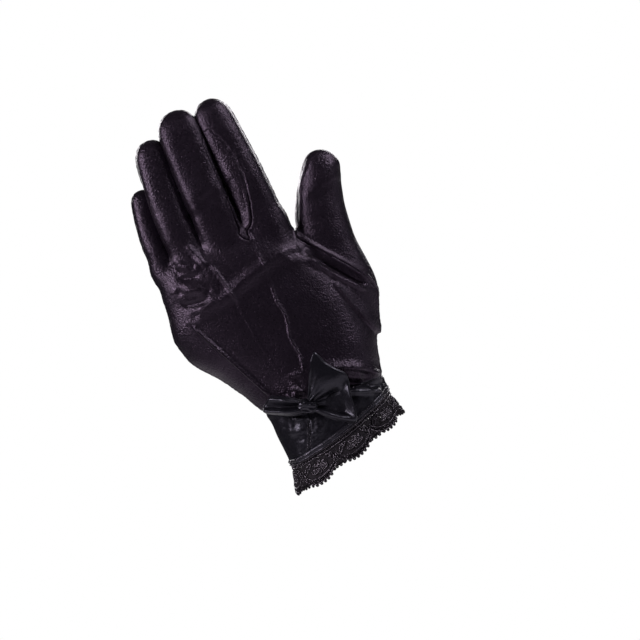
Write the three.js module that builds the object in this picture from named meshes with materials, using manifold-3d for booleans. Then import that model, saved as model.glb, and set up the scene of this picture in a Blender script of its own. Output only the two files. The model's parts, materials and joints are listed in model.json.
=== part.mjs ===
// Satin dress glove for the left hand: a hollow hand of stretch satin with strips between the fingers,
// a set-in thumb, a gathered wrist and cuff, a scalloped lace edge and a bow on the back of the wrist.
//
// Millimetres. The origin is the middle of the wrist at the elastic line. +Z runs up the hand to the
// fingertips, -Y is the back of the hand and +X is the thumb's side.

import * as THREE from 'three';
import { mergeGeometries, mergeVertices } from 'three/addons/utils/BufferGeometryUtils.js';
import Module from 'manifold-3d';

const wasm = await Module();
wasm.setup();

// Cloth and seams
const WALL = 1.2;
const LACE_WALL = 1.0;
const RIBBON = 1.1;
const GAP = 0.3;

// Hand of the glove: height up the hand and the four sides of the section there
const PALM_SIDES = 36;
const SECTION_POWER = 0.86;
const PALM = [
  { z: 0, left: -30.5, right: 35.5, back: -19.5, palm: 20.5 },
  { z: 4, left: -32.5, right: 37.5, back: -20.5, palm: 21.5 },
  { z: 10, left: -34.5, right: 38.5, back: -20.5, palm: 22.5 },
  { z: 18, left: -38.0, right: 40.0, back: -19.5, palm: 23.5 },
  { z: 30, left: -45.5, right: 42.0, back: -18.0, palm: 24.0 },
  { z: 45, left: -57.0, right: 41.0, back: -17.0, palm: 23.0 },
  { z: 60, left: -60.2, right: 36.0, back: -15.8, palm: 20.0 },
  { z: 75, left: -57.8, right: 30.0, back: -14.4, palm: 17.0 },
  { z: 88, left: -56.3, right: 25.5, back: -12.6, palm: 14.6 },
  { z: 95, left: -55.0, right: 23.8, back: -10.8, palm: 12.6 },
  { z: 98.6, left: -52.9, right: 21.6, back: -7.0, palm: 8.8 },
];

// Gathers that the elastic pulls in at the wrist
const GATHERS = 12;
const GATHER_DEPTH = 1.1;
const GATHER_REACH = 20;
const ELASTIC_TILT = -0.12;

// Fingers: centre line at the foot, half way and at the tip, and half the width and depth there
const FINGER_SIDES = 12;
const FINGER_FOOT = 84;
const FINGER_MIDDLE = 130;
const FINGER_ROWS = 3;
const FINGERS = {
  index: { foot: 12.2, middle: 12.4, tip: 10.8, top: 173.4, wide: 11.6, slim: 10.8, deep: 10.2, y: 0.5 },
  middle: { foot: -11.3, middle: -11.2, tip: -9.2, top: 175.4, wide: 11.4, slim: 11.2, deep: 10.2, y: 0.0 },
  ring: { foot: -32.3, middle: -31.5, tip: -27.8, top: 166.0, wide: 9.4, slim: 9.2, deep: 9.6, y: 1.0 },
  little: { foot: -48.6, middle: -46.9, tip: -43.9, top: 143.8, wide: 7.0, slim: 6.2, deep: 8.4, y: 3.0 },
};
const FINGER_CURL = 7;
const TIP_ROUND = 1.25;
const TIP_ANGLES = [30, 55, 78];

// Thumb: centre, half width across and half depth, from the heel of the palm to the last joint
const THUMB_SIDES = 14;
const THUMB = [
  { x: 15, y: 5, z: 8, wide: 14, deep: 13 },
  { x: 25.5, y: 6, z: 30, wide: 22.5, deep: 15 },
  { x: 34.0, y: 7, z: 49, wide: 22.4, deep: 14.4 },
  { x: 39.0, y: 8, z: 72, wide: 16.2, deep: 12.6 },
  { x: 43.1, y: 9, z: 92, wide: 13.6, deep: 11 },
  { x: 50.9, y: 10.5, z: 109.2, wide: 11.0, deep: 9.4 },
];
const THUMB_TIP_LENGTH = 15.2;
const THUMB_CROTCH = { x: 24.6, z: 81.5 };
const THUMB_SEAM_FOOT = { x: 53.0, z: 42.0 };
const THUMB_SEAM_DEPTH_LEAN = 0.35;

// Strips between the fingers: the line between two fingers, how far up the strip runs and the edges
// of the strip on the finger to either side
const FOURCHETTES = {
  fourchette_index_middle: {
    line: 0.9, lineTop: 0.6, y: 0.4, foot: 93.5, top: 163, near: 10.2, nearBack: -15, nearPalm: 1.2,
    far: 8.5, farBack: -4.6, farPalm: 4.6,
  },
  fourchette_middle_ring: {
    line: -22.8, lineTop: -21.0, y: 0.6, foot: 93.5, top: 156, near: 8, nearBack: -4.6, nearPalm: 4.6,
    far: 7.5, farBack: -4.6, farPalm: 4.6,
  },
  fourchette_ring_little: {
    line: -42.4, lineTop: -40.4, y: 1.8, foot: 93.5, top: 137, near: 7, nearBack: -4.4, nearPalm: 4.4,
    far: 5.6, farBack: -4.0, farPalm: 4.0,
  },
};
const FOURCHETTE_POINT = 12;

// Raised folds on the back of the hand: three pin tucks from the knuckles to the wrist, the crease that
// crosses the hand below the knuckles and two short pads at the ring finger's root
const FOLDS = [
  { x0: -47.7, z0: 64.4, x1: -35.9, z1: 39.7, x2: -24.2, z2: 15.0, wide: 2.6, high: 1.2 },
  { x0: -23.0, z0: 87.6, x1: -19.8, z1: 54.0, x2: -14.0, z2: 20.0, wide: 2.6, high: 1.2 },
  { x0: 0.9, z0: 90.0, x1: 0.6, z1: 55.0, x2: -0.2, z2: 20.0, wide: 2.6, high: 1.2 },
  { x0: -43.6, z0: 69.2, x1: -14.0, z1: 73.0, x2: 17.4, z2: 78.0, wide: 8.0, high: 1.5 },
  { x0: -47.0, z0: 86.0, x1: -38.0, z1: 82.5, x2: -28.0, z2: 78.5, wide: 7.0, high: 1.6 },
];
const FOLD_STEPS = 5;

// Cuff, hem and lace: sections square to the arm, which leans off the hand
const HEM_TILT = 0.226;
const HEM_Z = -21.6;
const HEM_HEIGHT = 3;
const CUFF_ROWS = 4;
const CUFF_GATHER = 1.3;
const HEM_SECTION = { left: -30.0, right: 34.8, back: -21.2, palm: 22.8 };
const LACE_SECTION = { left: -34.2, right: 36.2, back: -22.8, palm: 24.4 };

// Lace edge
const SCALLOPS = 8;
const STEPS_PER_SCALLOP = 6;
const LACE_VALLEY = 13.0;
const LACE_PEAK = 18.2;
const VALLEY_X = -3.9;
// Holes of one scallop: place along it in shares of its width, depth below the hem, size
const LACE_HOLES = [
  { at: 0.0, depth: 7.4, wide: 3.2, high: 2.8 },
  { at: 0.5, depth: 6.6, wide: 3.2, high: 2.6 },
  { at: 0.25, depth: 8.8, wide: 3.0, high: 3.2 },
  { at: 0.75, depth: 8.8, wide: 3.0, high: 3.2 },
  { at: 0.36, depth: 12.8, wide: 3.0, high: 2.8 },
  { at: 0.64, depth: 12.8, wide: 3.0, high: 2.8 },
];
const HOLE_SIDES = 4;

// Bow: knot and two ribbon loops
const BOW_X = -6.4;
const BOW_Z = -1.4;
const BOW_BACK = -22.6;
const KNOT = { wide: 4.2, high: 7.4, deep: 3.6 };
const LOOP_STEPS = 7;
const RIBBON_STEPS = 6;
const LOOPS = {
  bow_loop_right: {
    side: 1, turn: 4, start: 4.6, reachTop: 14.0, reachMiddle: 22.0, reachFoot: 19.5, foot: 5.6,
    top: 23.4, bottom: 17.5, rise: 0, puff: 10.5,
  },
  bow_loop_left: {
    side: -1, turn: -20, start: 4.6, reachTop: 17.5, reachMiddle: 20.0, reachFoot: 18.5, foot: 5.0,
    top: 9.0, bottom: 7.5, rise: 8.0, puff: 8.5,
  },
};

const SATIN = { color: 0x17131a, roughness: 0.42, metalness: 0 };
const BOW_SATIN = { color: 0x15141a, roughness: 0.34, metalness: 0 };
const LACE_THREAD = { color: 0x18131a, roughness: 0.85, metalness: 0 };

const lerp = THREE.MathUtils.lerp;
const clamp = THREE.MathUtils.clamp;
const radians = THREE.MathUtils.degToRad;

// Closed surface from points and triangles, turned so that its faces point out
function closedGeometry(points, index) {
  let volume = 0;
  const cross = new THREE.Vector3();
  for (let i = 0; i < index.length; i += 3) {
    cross.crossVectors(points[index[i + 1]], points[index[i + 2]]);
    volume += points[index[i]].dot(cross);
  }
  if (volume < 0) {
    index.reverse();
  }
  const geometry = new THREE.BufferGeometry();
  geometry.setFromPoints(points);
  geometry.setIndex(index);
  return geometry;
}

// Side walls between rings of equal count; a closed loop of rings makes a hollow band
function ringWalls(rings, closed) {
  const count = rings[0].length;
  const index = [];
  const last = closed ? rings.length : rings.length - 1;
  for (let r = 0; r < last; r++) {
    const below = r * count;
    const above = ((r + 1) % rings.length) * count;
    for (let i = 0; i < count; i++) {
      const j = (i + 1) % count;
      index.push(below + i, below + j, above + j, below + i, above + j, above + i);
    }
  }
  return index;
}

// Solid through rings, with a point over the middle of each end ring
function loft(rings, tail, tip) {
  const count = rings[0].length;
  const points = rings.flat();
  const index = ringWalls(rings, false);
  const tailAt = points.push(tail) - 1;
  const tipAt = points.push(tip) - 1;
  const lastRing = (rings.length - 1) * count;
  for (let i = 0; i < count; i++) {
    const j = (i + 1) % count;
    index.push(tailAt, j, i);
    index.push(tipAt, lastRing + i, lastRing + j);
  }
  return closedGeometry(points, index);
}

// Solid between two sheets of points with the same rows and columns
function sheetSolid(front, back) {
  const rows = front.length;
  const columns = front[0].length;
  const points = [...front.flat(), ...back.flat()];
  const behind = rows * columns;
  const index = [];
  for (let r = 0; r + 1 < rows; r++) {
    for (let c = 0; c + 1 < columns; c++) {
      const a = r * columns + c;
      const b = a + 1;
      const d = a + columns;
      const e = d + 1;
      index.push(a, b, e, a, e, d);
      index.push(behind + a, behind + e, behind + b, behind + a, behind + d, behind + e);
    }
  }
  const rim = [];
  for (let c = 0; c + 1 < columns; c++) rim.push(c);
  for (let r = 0; r + 1 < rows; r++) rim.push(r * columns + columns - 1);
  for (let c = columns - 1; c > 0; c--) rim.push((rows - 1) * columns + c);
  for (let r = rows - 1; r > 0; r--) rim.push(r * columns);
  rim.forEach((a, i) => {
    const b = rim[(i + 1) % rim.length];
    index.push(a, behind + b, b, a, behind + a, behind + b);
  });
  return closedGeometry(points, index);
}

function solidFrom(geometry) {
  const bare = geometry.clone();
  bare.deleteAttribute('normal');
  bare.deleteAttribute('uv');
  const merged = mergeVertices(bare, 1e-4);
  return new wasm.Manifold(new wasm.Mesh({
    numProp: 3,
    vertProperties: new Float32Array(merged.attributes.position.array),
    triVerts: new Uint32Array(merged.index.array),
  }));
}

function geometryFrom(solid) {
  const mesh = solid.getMesh();
  const geometry = new THREE.BufferGeometry();
  geometry.setAttribute('position', new THREE.BufferAttribute(mesh.vertProperties, 3));
  geometry.setIndex(new THREE.BufferAttribute(mesh.triVerts, 1));
  return geometry;
}

// Rounded section of the hand or arm at one angle, with gathers
function sectionPoint(section, angle, inset, gather) {
  const middleX = (section.left + section.right) / 2;
  const middleY = (section.back + section.palm) / 2;
  const ripple = gather * Math.cos(GATHERS * angle) - inset;
  const halfX = (section.right - section.left) / 2 + ripple;
  const halfY = (section.palm - section.back) / 2 + ripple;
  const c = Math.cos(angle);
  const s = Math.sin(angle);
  return {
    x: middleX + halfX * Math.sign(c) * Math.abs(c) ** SECTION_POWER,
    y: middleY + halfY * Math.sign(s) * Math.abs(s) ** SECTION_POWER,
  };
}

function elasticHeight(x) {
  return ELASTIC_TILT * x;
}

function hemHeight(x) {
  return HEM_Z + HEM_TILT * x;
}

function palmRing(section, inset, drop) {
  const pull = 1 - THREE.MathUtils.smoothstep(section.z, 0, GATHER_REACH);
  const ring = [];
  for (let i = 0; i < PALM_SIDES; i++) {
    const angle = (2 * Math.PI * i) / PALM_SIDES;
    const at = sectionPoint(section, angle, inset, GATHER_DEPTH * pull);
    const lean = pull * (elasticHeight(at.x) + GAP / 2);
    ring.push(new THREE.Vector3(at.x, at.y, section.z + lean - drop));
  }
  return ring;
}

// Hand without fingers; the inside one is smaller by the wall and runs out below the wrist
function palmSolid(inset) {
  const rings = PALM.map((section, row) => palmRing(section, inset, row === PALM.length - 1 ? inset : 0));
  if (inset > 0) {
    rings.unshift(palmRing(PALM[0], inset, 12));
  }
  const top = PALM[PALM.length - 1];
  const middle = new THREE.Vector3((top.left + top.right) / 2, (top.back + top.palm) / 2, 0);
  const tail = middle.clone().setZ(rings[0].reduce((sum, p) => sum + p.z, 0) / PALM_SIDES);
  const tip = middle.clone().setZ(top.z - inset);
  return solidFrom(loft(rings, tail, tip));
}

// Back of the hand's height over the plane y = 0 at a place, from the section table
function backSurface(x, z) {
  const row = PALM.findIndex((section) => section.z > z);
  const below = PALM[row - 1];
  const above = PALM[row];
  const share = (z - below.z) / (above.z - below.z);
  const left = lerp(below.left, above.left, share);
  const right = lerp(below.right, above.right, share);
  const back = lerp(below.back, above.back, share);
  const palm = lerp(below.palm, above.palm, share);
  const across = Math.abs((x - (left + right) / 2) / ((right - left) / 2));
  const cosine = Math.min(across, 1) ** (1 / SECTION_POWER);
  return (back + palm) / 2 - ((palm - back) / 2) * Math.sqrt(1 - cosine ** 2) ** SECTION_POWER;
}

// Ring of a finger or thumb, square to its centre line
function limbRing(centre, along, wide, deep, sides) {
  const across = new THREE.Vector3(1, 0, 0).addScaledVector(along, -along.x).normalize();
  const through = new THREE.Vector3().crossVectors(along, across);
  const ring = [];
  for (let i = 0; i < sides; i++) {
    const angle = (2 * Math.PI * i) / sides;
    const point = centre.clone();
    point.addScaledVector(across, wide * Math.cos(angle));
    point.addScaledVector(through, deep * Math.sin(angle));
    ring.push(point);
  }
  return ring;
}

// Limb through rows of centre and half sizes, closed by a rounded tip of a given length
function limbSolid(rows, tipLength, sides, inset) {
  const rings = rows.map((row, i) => {
    const from = rows[Math.max(i - 1, 0)].centre;
    const to = rows[Math.min(i + 1, rows.length - 1)].centre;
    const along = to.clone().sub(from).normalize();
    return limbRing(row.centre, along, row.wide - inset, row.deep - inset, sides);
  });
  const last = rows[rows.length - 1];
  const along = last.centre.clone().sub(rows[rows.length - 2].centre).normalize();
  const length = tipLength - inset;
  for (const degrees of TIP_ANGLES) {
    const angle = radians(degrees);
    const centre = last.centre.clone().addScaledVector(along, length * Math.sin(angle));
    const shrink = Math.cos(angle);
    rings.push(limbRing(centre, along, (last.wide - inset) * shrink, (last.deep - inset) * shrink, sides));
  }
  const tip = last.centre.clone().addScaledVector(along, length);
  return solidFrom(loft(rings, rows[0].centre, tip));
}

// Centre line of a finger: bends evenly through its foot, middle and tip
function fingerCentre(finger, z) {
  const span = finger.top - FINGER_FOOT;
  const share = (z - FINGER_FOOT) / span;
  const middle = (FINGER_MIDDLE - FINGER_FOOT) / span;
  const toMiddle = ((share - middle) * (share - 1)) / middle;
  const toTip = (share * (share - middle)) / (1 - middle);
  const atMiddle = (share * (share - 1)) / (middle * (middle - 1));
  const x = finger.foot * toMiddle + finger.middle * atMiddle + finger.tip * toTip;
  return new THREE.Vector3(x, finger.y + FINGER_CURL * share * share, z);
}

function fingerSolid(finger, inset) {
  const tipLength = finger.slim * TIP_ROUND;
  const top = finger.top - tipLength;
  const rows = [];
  for (let i = 0; i <= FINGER_ROWS; i++) {
    const share = i / FINGER_ROWS;
    rows.push({
      centre: fingerCentre(finger, lerp(FINGER_FOOT, top, share)),
      wide: lerp(finger.wide, finger.slim, share),
      deep: lerp(finger.deep, finger.slim * 0.86, share),
    });
  }
  return limbSolid(rows, tipLength, FINGER_SIDES, inset);
}

function thumbSolid(inset) {
  const rows = THUMB.map((row) => ({
    centre: new THREE.Vector3(row.x, row.y, row.z),
    wide: row.wide,
    deep: row.deep,
  }));
  return limbSolid(rows, THUMB_TIP_LENGTH, THUMB_SIDES, inset);
}

// Raised fold: a low ridge that follows the back of the hand, its foot inside the cloth
function foldSolid(fold) {
  const rings = [];
  for (let i = 0; i <= FOLD_STEPS; i++) {
    const t = i / FOLD_STEPS;
    const x = (1 - t) ** 2 * fold.x0 + 2 * t * (1 - t) * fold.x1 + t * t * fold.x2;
    const z = (1 - t) ** 2 * fold.z0 + 2 * t * (1 - t) * fold.z1 + t * t * fold.z2;
    const y = backSurface(x, z);
    const run = new THREE.Vector3(fold.x2 - fold.x0, 0, fold.z2 - fold.z0).normalize();
    const aside = new THREE.Vector3(run.z, 0, -run.x).multiplyScalar(fold.wide / 2);
    const high = fold.high * Math.sin(Math.PI * clamp(t, 0.04, 0.96)) ** 0.4;
    const foot = new THREE.Vector3(x, y + 2 * WALL, z);
    rings.push([foot.clone().sub(aside), new THREE.Vector3(x, y - high, z), foot.clone().add(aside)]);
  }
  const middle = (ring) => ring[0].clone().add(ring[1]).add(ring[2]).divideScalar(3);
  return solidFrom(loft(rings, middle(rings[0]), middle(rings[rings.length - 1])));
}

// Whole hollow hand before it is parted into panels
function handShell() {
  let outside = palmSolid(0);
  let inside = palmSolid(WALL);
  for (const finger of Object.values(FINGERS)) {
    outside = outside.add(fingerSolid(finger, 0));
    inside = inside.add(fingerSolid(finger, WALL));
  }
  outside = outside.add(thumbSolid(0));
  inside = inside.add(thumbSolid(WALL));
  for (const fold of FOLDS) {
    outside = outside.add(foldSolid(fold));
  }
  return outside.subtract(inside);
}

// Space of one strip between fingers: four-cornered sections up the line between them
function fourchetteSpace(strip, grow) {
  const section = (z, scale) => {
    const share = (z - FINGER_FOOT) / (strip.top - FINGER_FOOT);
    const x = lerp(strip.line, strip.lineTop, share);
    const y = strip.y + FINGER_CURL * ((z - FINGER_FOOT) / (175 - FINGER_FOOT)) ** 2;
    return [
      new THREE.Vector3(x - strip.far, y + strip.farBack * scale - grow, z),
      new THREE.Vector3(x + strip.near, y + strip.nearBack * scale - grow, z),
      new THREE.Vector3(x + strip.near + grow, y + strip.nearPalm * scale + grow, z),
      new THREE.Vector3(x - strip.far, y + strip.farPalm * scale + grow, z),
    ];
  };
  const rings = [];
  const full = strip.top - FOURCHETTE_POINT;
  for (const share of [0, 0.5, 1]) {
    rings.push(section(lerp(strip.foot - grow, full, share), 1));
  }
  rings.push(section(strip.top + grow, 0.25));
  const middle = (ring) => ring[0].clone().add(ring[2]).multiplyScalar(0.5);
  return solidFrom(loft(rings, middle(rings[0]), middle(rings[rings.length - 1])));
}

// Space of the thumb: right of the seam line from the crotch to the thumb's root
function thumbSpace(grow) {
  const far = 120;
  const outline = new THREE.Shape([
    new THREE.Vector2(-30, THUMB_CROTCH.z - 8 + grow),
    new THREE.Vector2(THUMB_CROTCH.x - grow, THUMB_CROTCH.z + 1.5),
    new THREE.Vector2(THUMB_CROTCH.x + 1.6 - grow, THUMB_CROTCH.z + 12),
    new THREE.Vector2(THUMB_CROTCH.x + 12, far + 10),
    new THREE.Vector2(far, far + 10),
    new THREE.Vector2(far, -far),
    new THREE.Vector2(-30, -far),
  ]);
  const prism = new THREE.ExtrudeGeometry(outline, { depth: far, bevelEnabled: false });
  prism.rotateX(Math.PI / 2);
  prism.translate(0, far / 2, 0);
  const along = new THREE.Vector3(
    THUMB_SEAM_FOOT.x - THUMB_CROTCH.x, 0, THUMB_SEAM_FOOT.z - THUMB_CROTCH.z,
  ).normalize();
  const out = new THREE.Vector3(-along.z, THUMB_SEAM_DEPTH_LEAN, along.x).normalize();
  const box = new THREE.BoxGeometry(far * 2, far * 2, far * 2);
  box.translate(0, 0, far - grow);
  box.applyQuaternion(new THREE.Quaternion().setFromUnitVectors(new THREE.Vector3(0, 0, 1), out));
  box.translate(THUMB_CROTCH.x, 0, THUMB_CROTCH.z);
  return solidFrom(prism).intersect(solidFrom(box));
}

// Height of the side seams between back and palm
function sideSeam(z) {
  if (z < FINGER_FOOT) {
    return lerp(0.5, 1.0, clamp(z / FINGER_FOOT, 0, 1));
  }
  return 1.0 + FINGER_CURL * ((z - FINGER_FOOT) / (175 - FINGER_FOOT)) ** 2;
}

// Everything in front of the side seams, or behind them
function sideSpace(side) {
  const far = 100;
  const seam = [];
  const outer = [];
  for (const z of [-30, FINGER_FOOT, 115, 145, 190]) {
    const y = sideSeam(z) + (side * GAP) / 2;
    seam.push([new THREE.Vector3(-far, y, z), new THREE.Vector3(far, y, z)]);
    outer.push([new THREE.Vector3(-far, side * far, z), new THREE.Vector3(far, side * far, z)]);
  }
  return solidFrom(sheetSolid(seam, outer));
}

function handPieces() {
  const shell = handShell();
  let trank = shell.subtract(thumbSpace(GAP));
  const pieces = { thumb: shell.intersect(thumbSpace(0)) };
  for (const [name, strip] of Object.entries(FOURCHETTES)) {
    pieces[name] = shell.intersect(fourchetteSpace(strip, 0));
    trank = trank.subtract(fourchetteSpace(strip, GAP));
  }
  pieces.back_panel = trank.intersect(sideSpace(-1));
  pieces.palm_panel = trank.intersect(sideSpace(1));
  return pieces;
}

// Hollow band through rows of rings; the inside runs back up through the same rows
function bandGeometry(rows, ringAt, wall) {
  const outside = rows.map((row) => ringAt(row, 0));
  const inside = rows.map((row) => ringAt(row, wall)).reverse();
  const rings = [...outside, ...inside];
  return closedGeometry(rings.flat(), ringWalls(rings, true));
}

function mixSection(a, b, share) {
  return {
    left: lerp(a.left, b.left, share),
    right: lerp(a.right, b.right, share),
    back: lerp(a.back, b.back, share),
    palm: lerp(a.palm, b.palm, share),
  };
}

function cuffGeometry() {
  const rows = Array.from({ length: CUFF_ROWS }, (_, i) => i / (CUFF_ROWS - 1));
  const ringAt = (share, inset) => {
    const section = mixSection(PALM[0], HEM_SECTION, share);
    const gather = lerp(GATHER_DEPTH, CUFF_GATHER, Math.sin(Math.PI * share)) * (1 - 0.6 * share);
    return Array.from({ length: PALM_SIDES }, (_, i) => {
      const at = sectionPoint(section, (2 * Math.PI * i) / PALM_SIDES, inset, gather);
      const z = lerp(elasticHeight(at.x) - GAP / 2, hemHeight(at.x), share);
      return new THREE.Vector3(at.x, at.y, z);
    });
  };
  return bandGeometry(rows, ringAt, WALL);
}

function hemGeometry() {
  const ringAt = (depth, inset) => Array.from({ length: PALM_SIDES }, (_, i) => {
    const angle = (2 * Math.PI * i) / PALM_SIDES;
    const at = sectionPoint(HEM_SECTION, angle, inset - 0.3, GATHER_DEPTH * 0.4);
    return new THREE.Vector3(at.x, at.y, hemHeight(at.x) - depth);
  });
  return bandGeometry([GAP, GAP + HEM_HEIGHT], ringAt, WALL + 0.5);
}

// Angle round the wrist for a share of the hem's length, counted from the valley below the bow
function evenTurns(section, startX) {
  const half = (section.right - section.left) / 2;
  const across = (startX - (section.left + section.right) / 2) / half;
  const start = -Math.acos(Math.sign(across) * Math.abs(across) ** (1 / SECTION_POWER));
  const steps = 720;
  const turns = [start];
  const lengths = [0];
  for (let i = 1; i <= steps; i++) {
    turns.push(start + (2 * Math.PI * i) / steps);
    const from = sectionPoint(section, turns[i - 1], 0, 0);
    const to = sectionPoint(section, turns[i], 0, 0);
    lengths.push(lengths[i - 1] + Math.hypot(to.x - from.x, to.y - from.y));
  }
  return (share) => {
    const target = lengths[steps] * share;
    const i = lengths.findIndex((length) => length > target);
    return lerp(turns[i - 1], turns[i], (target - lengths[i - 1]) / (lengths[i] - lengths[i - 1]));
  };
}

const laceTurn = evenTurns(HEM_SECTION, VALLEY_X);

// Lace below the hem: how far down its outer edge hangs at a share of the way round
function laceEdge(share) {
  const swell = Math.abs(Math.sin(Math.PI * SCALLOPS * share));
  return lerp(LACE_VALLEY, LACE_PEAK, swell ** 0.7);
}

function lacePoint(angle, depth, inset) {
  const share = clamp(depth / LACE_PEAK, 0, 1);
  const section = mixSection(HEM_SECTION, LACE_SECTION, share);
  const at = sectionPoint(section, angle, inset, 0);
  return new THREE.Vector3(at.x, at.y, hemHeight(at.x) - depth);
}

function laceHoles() {
  const pegs = [];
  const reach = 4;
  for (let scallop = 0; scallop < SCALLOPS; scallop++) {
    for (const hole of LACE_HOLES) {
      const angle = laceTurn((scallop + hole.at) / SCALLOPS);
      const centre = lacePoint(angle, hole.depth, LACE_WALL / 2);
      const ahead = lacePoint(angle + 0.02, hole.depth, LACE_WALL / 2);
      const along = ahead.sub(centre).normalize();
      const out = new THREE.Vector3(along.y, -along.x, 0).normalize();
      const peg = new THREE.CylinderGeometry(1, 1, reach, HOLE_SIDES);
      peg.scale(hole.wide / 2, 1, hole.high / 2);
      const up = new THREE.Vector3().crossVectors(along, out);
      peg.applyMatrix4(new THREE.Matrix4().makeBasis(along, out, up));
      peg.translate(centre.x, centre.y, centre.z);
      pegs.push(peg);
    }
  }
  return solidFrom(mergeGeometries(pegs));
}

function laceGeometry() {
  const top = HEM_HEIGHT + 2 * GAP;
  const steps = SCALLOPS * STEPS_PER_SCALLOP;
  const ringAt = (down, inset) => Array.from({ length: steps }, (_, i) => {
    const share = i / steps;
    return lacePoint(laceTurn(share), lerp(top, laceEdge(share), down), inset);
  });
  const band = solidFrom(bandGeometry([0, 1], ringAt, LACE_WALL));
  return geometryFrom(band.subtract(laceHoles()));
}

// Ribbon loop: a band that leaves the knot, bends at its outer end and comes back behind
function loopSheets(loop, inset) {
  const front = [];
  const back = [];
  for (let i = 0; i <= LOOP_STEPS; i++) {
    const u = i / LOOP_STEPS;
    const frontRow = [];
    const backRow = [];
    for (let j = 0; j <= RIBBON_STEPS; j++) {
      const v = (2 * j) / RIBBON_STEPS - 1;
      const beyond = inset > 0 ? 1.4 : 1;
      const side = v > 0 ? loop.reachTop : loop.reachFoot;
      const reach = lerp(loop.reachMiddle, side, v * v) - inset;
      const spread = u ** 0.8;
      const high = lerp(loop.foot, v > 0 ? loop.top : loop.bottom, spread) * beyond;
      const round = Math.sqrt(1 - (0.985 * u ** 3) ** 2);
      const crease = 1 - 0.4 * Math.exp(-((v / 0.22) ** 2)) * u;
      const puff = (2.4 + (loop.puff - 2.4) * Math.sin(Math.PI * Math.min(u, 0.62))) * round * crease;
      const x = loop.start + reach * u + inset * 0.6;
      const z = v * high + loop.rise * u * u;
      frontRow.push(new THREE.Vector3(loop.side * x, -puff * 0.9 + inset - 0.6, z));
      backRow.push(new THREE.Vector3(loop.side * x, 0.6 * round - inset + 0.1, z));
    }
    front.push(frontRow);
    back.push(backRow);
  }
  return solidFrom(sheetSolid(front, back));
}

function loopGeometry(loop) {
  const geometry = geometryFrom(loopSheets(loop, 0).subtract(loopSheets(loop, RIBBON)));
  geometry.rotateZ(radians(loop.turn));
  geometry.translate(BOW_X, BOW_BACK - 1.2, BOW_Z);
  return geometry;
}

function knotGeometry() {
  const geometry = new THREE.SphereGeometry(1, 12, 8);
  geometry.scale(KNOT.wide, KNOT.deep, KNOT.high);
  geometry.translate(BOW_X, BOW_BACK + 1.7 - KNOT.deep, BOW_Z);
  return geometry;
}

function piece(name, geometry, finish) {
  const mesh = new THREE.Mesh(geometry, new THREE.MeshStandardMaterial(finish));
  mesh.name = name;
  return mesh;
}

const glove = new THREE.Group();
for (const [name, solid] of Object.entries(handPieces())) {
  glove.add(piece(name, geometryFrom(solid), SATIN));
}
glove.add(piece('cuff', cuffGeometry(), SATIN));
glove.add(piece('hem_band', hemGeometry(), SATIN));
glove.add(piece('lace_trim', laceGeometry(), LACE_THREAD));
for (const [name, loop] of Object.entries(LOOPS)) {
  glove.add(piece(name, loopGeometry(loop), BOW_SATIN));
}
glove.add(piece('bow_knot', knotGeometry(), BOW_SATIN));

export default glove;
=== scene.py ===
"""A satin dress glove for the left hand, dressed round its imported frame.

Lengths in the tables are millimetres in the glove's own frame: the origin is the middle of the wrist
at the elastic line, +Z runs up the hand, -Y is the back of the hand and +X is the thumb's side.
"""

import json
import math

import bmesh
import bpy
import numpy as np
from bpy.props import FloatProperty, FloatVectorProperty, PointerProperty
from mathutils import Matrix, Vector, kdtree, noise
from mathutils.bvhtree import BVHTree

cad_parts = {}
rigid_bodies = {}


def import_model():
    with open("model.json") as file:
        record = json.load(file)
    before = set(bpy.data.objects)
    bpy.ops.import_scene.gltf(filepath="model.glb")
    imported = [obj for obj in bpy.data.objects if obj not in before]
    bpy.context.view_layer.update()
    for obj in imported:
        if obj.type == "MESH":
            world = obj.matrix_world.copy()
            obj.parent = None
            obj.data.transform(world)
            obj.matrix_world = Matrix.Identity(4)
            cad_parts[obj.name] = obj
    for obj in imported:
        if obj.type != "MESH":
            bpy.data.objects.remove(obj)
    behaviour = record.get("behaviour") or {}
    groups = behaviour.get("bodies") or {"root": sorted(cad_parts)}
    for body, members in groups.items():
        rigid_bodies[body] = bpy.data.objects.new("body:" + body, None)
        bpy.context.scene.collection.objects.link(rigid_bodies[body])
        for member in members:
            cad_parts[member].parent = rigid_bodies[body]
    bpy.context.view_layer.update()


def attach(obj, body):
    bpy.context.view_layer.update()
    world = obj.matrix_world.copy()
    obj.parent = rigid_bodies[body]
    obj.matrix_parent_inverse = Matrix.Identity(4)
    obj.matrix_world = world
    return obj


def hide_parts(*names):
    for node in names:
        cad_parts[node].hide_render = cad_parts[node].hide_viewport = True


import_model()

bl_info = {
    "name": "Satin Dress Glove",
    "version": (1, 0, 0),
    "blender": (4, 5, 0),
    "location": "View3D > Sidebar > Glove",
    "description": "Builds a black satin dress glove with a bow and a scalloped lace edge",
    "category": "Object",
}

MM = 0.001

# Hand and cuff sections: height, left and right side, back and palm side
PALM = np.array([
    (-46.0, -30.6, 34.9, -21.4, 23.0),
    (-30.0, -30.4, 34.9, -21.3, 22.9),
    (-20.0, -30.5, 34.9, -21.2, 22.8),
    (-10.0, -31.0, 35.2, -20.9, 22.2),
    (-4.0, -30.6, 35.3, -19.9, 21.0),
    (0.0, -30.5, 35.5, -19.4, 20.4),
    (4.0, -32.5, 37.5, -20.5, 21.5),
    (10.0, -34.5, 39.2, -20.5, 22.5),
    (18.0, -38.0, 42.2, -19.5, 23.5),
    (30.0, -45.5, 42.0, -18.0, 24.0),
    (45.0, -57.4, 41.0, -17.0, 23.0),
    (60.0, -60.4, 36.0, -15.8, 20.0),
    (75.0, -57.4, 30.0, -14.4, 17.0),
    (88.0, -56.0, 25.5, -12.6, 14.6),
    (95.0, -54.4, 23.8, -10.8, 12.6),
    (98.6, -52.4, 21.6, -7.0, 8.8),
])
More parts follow.
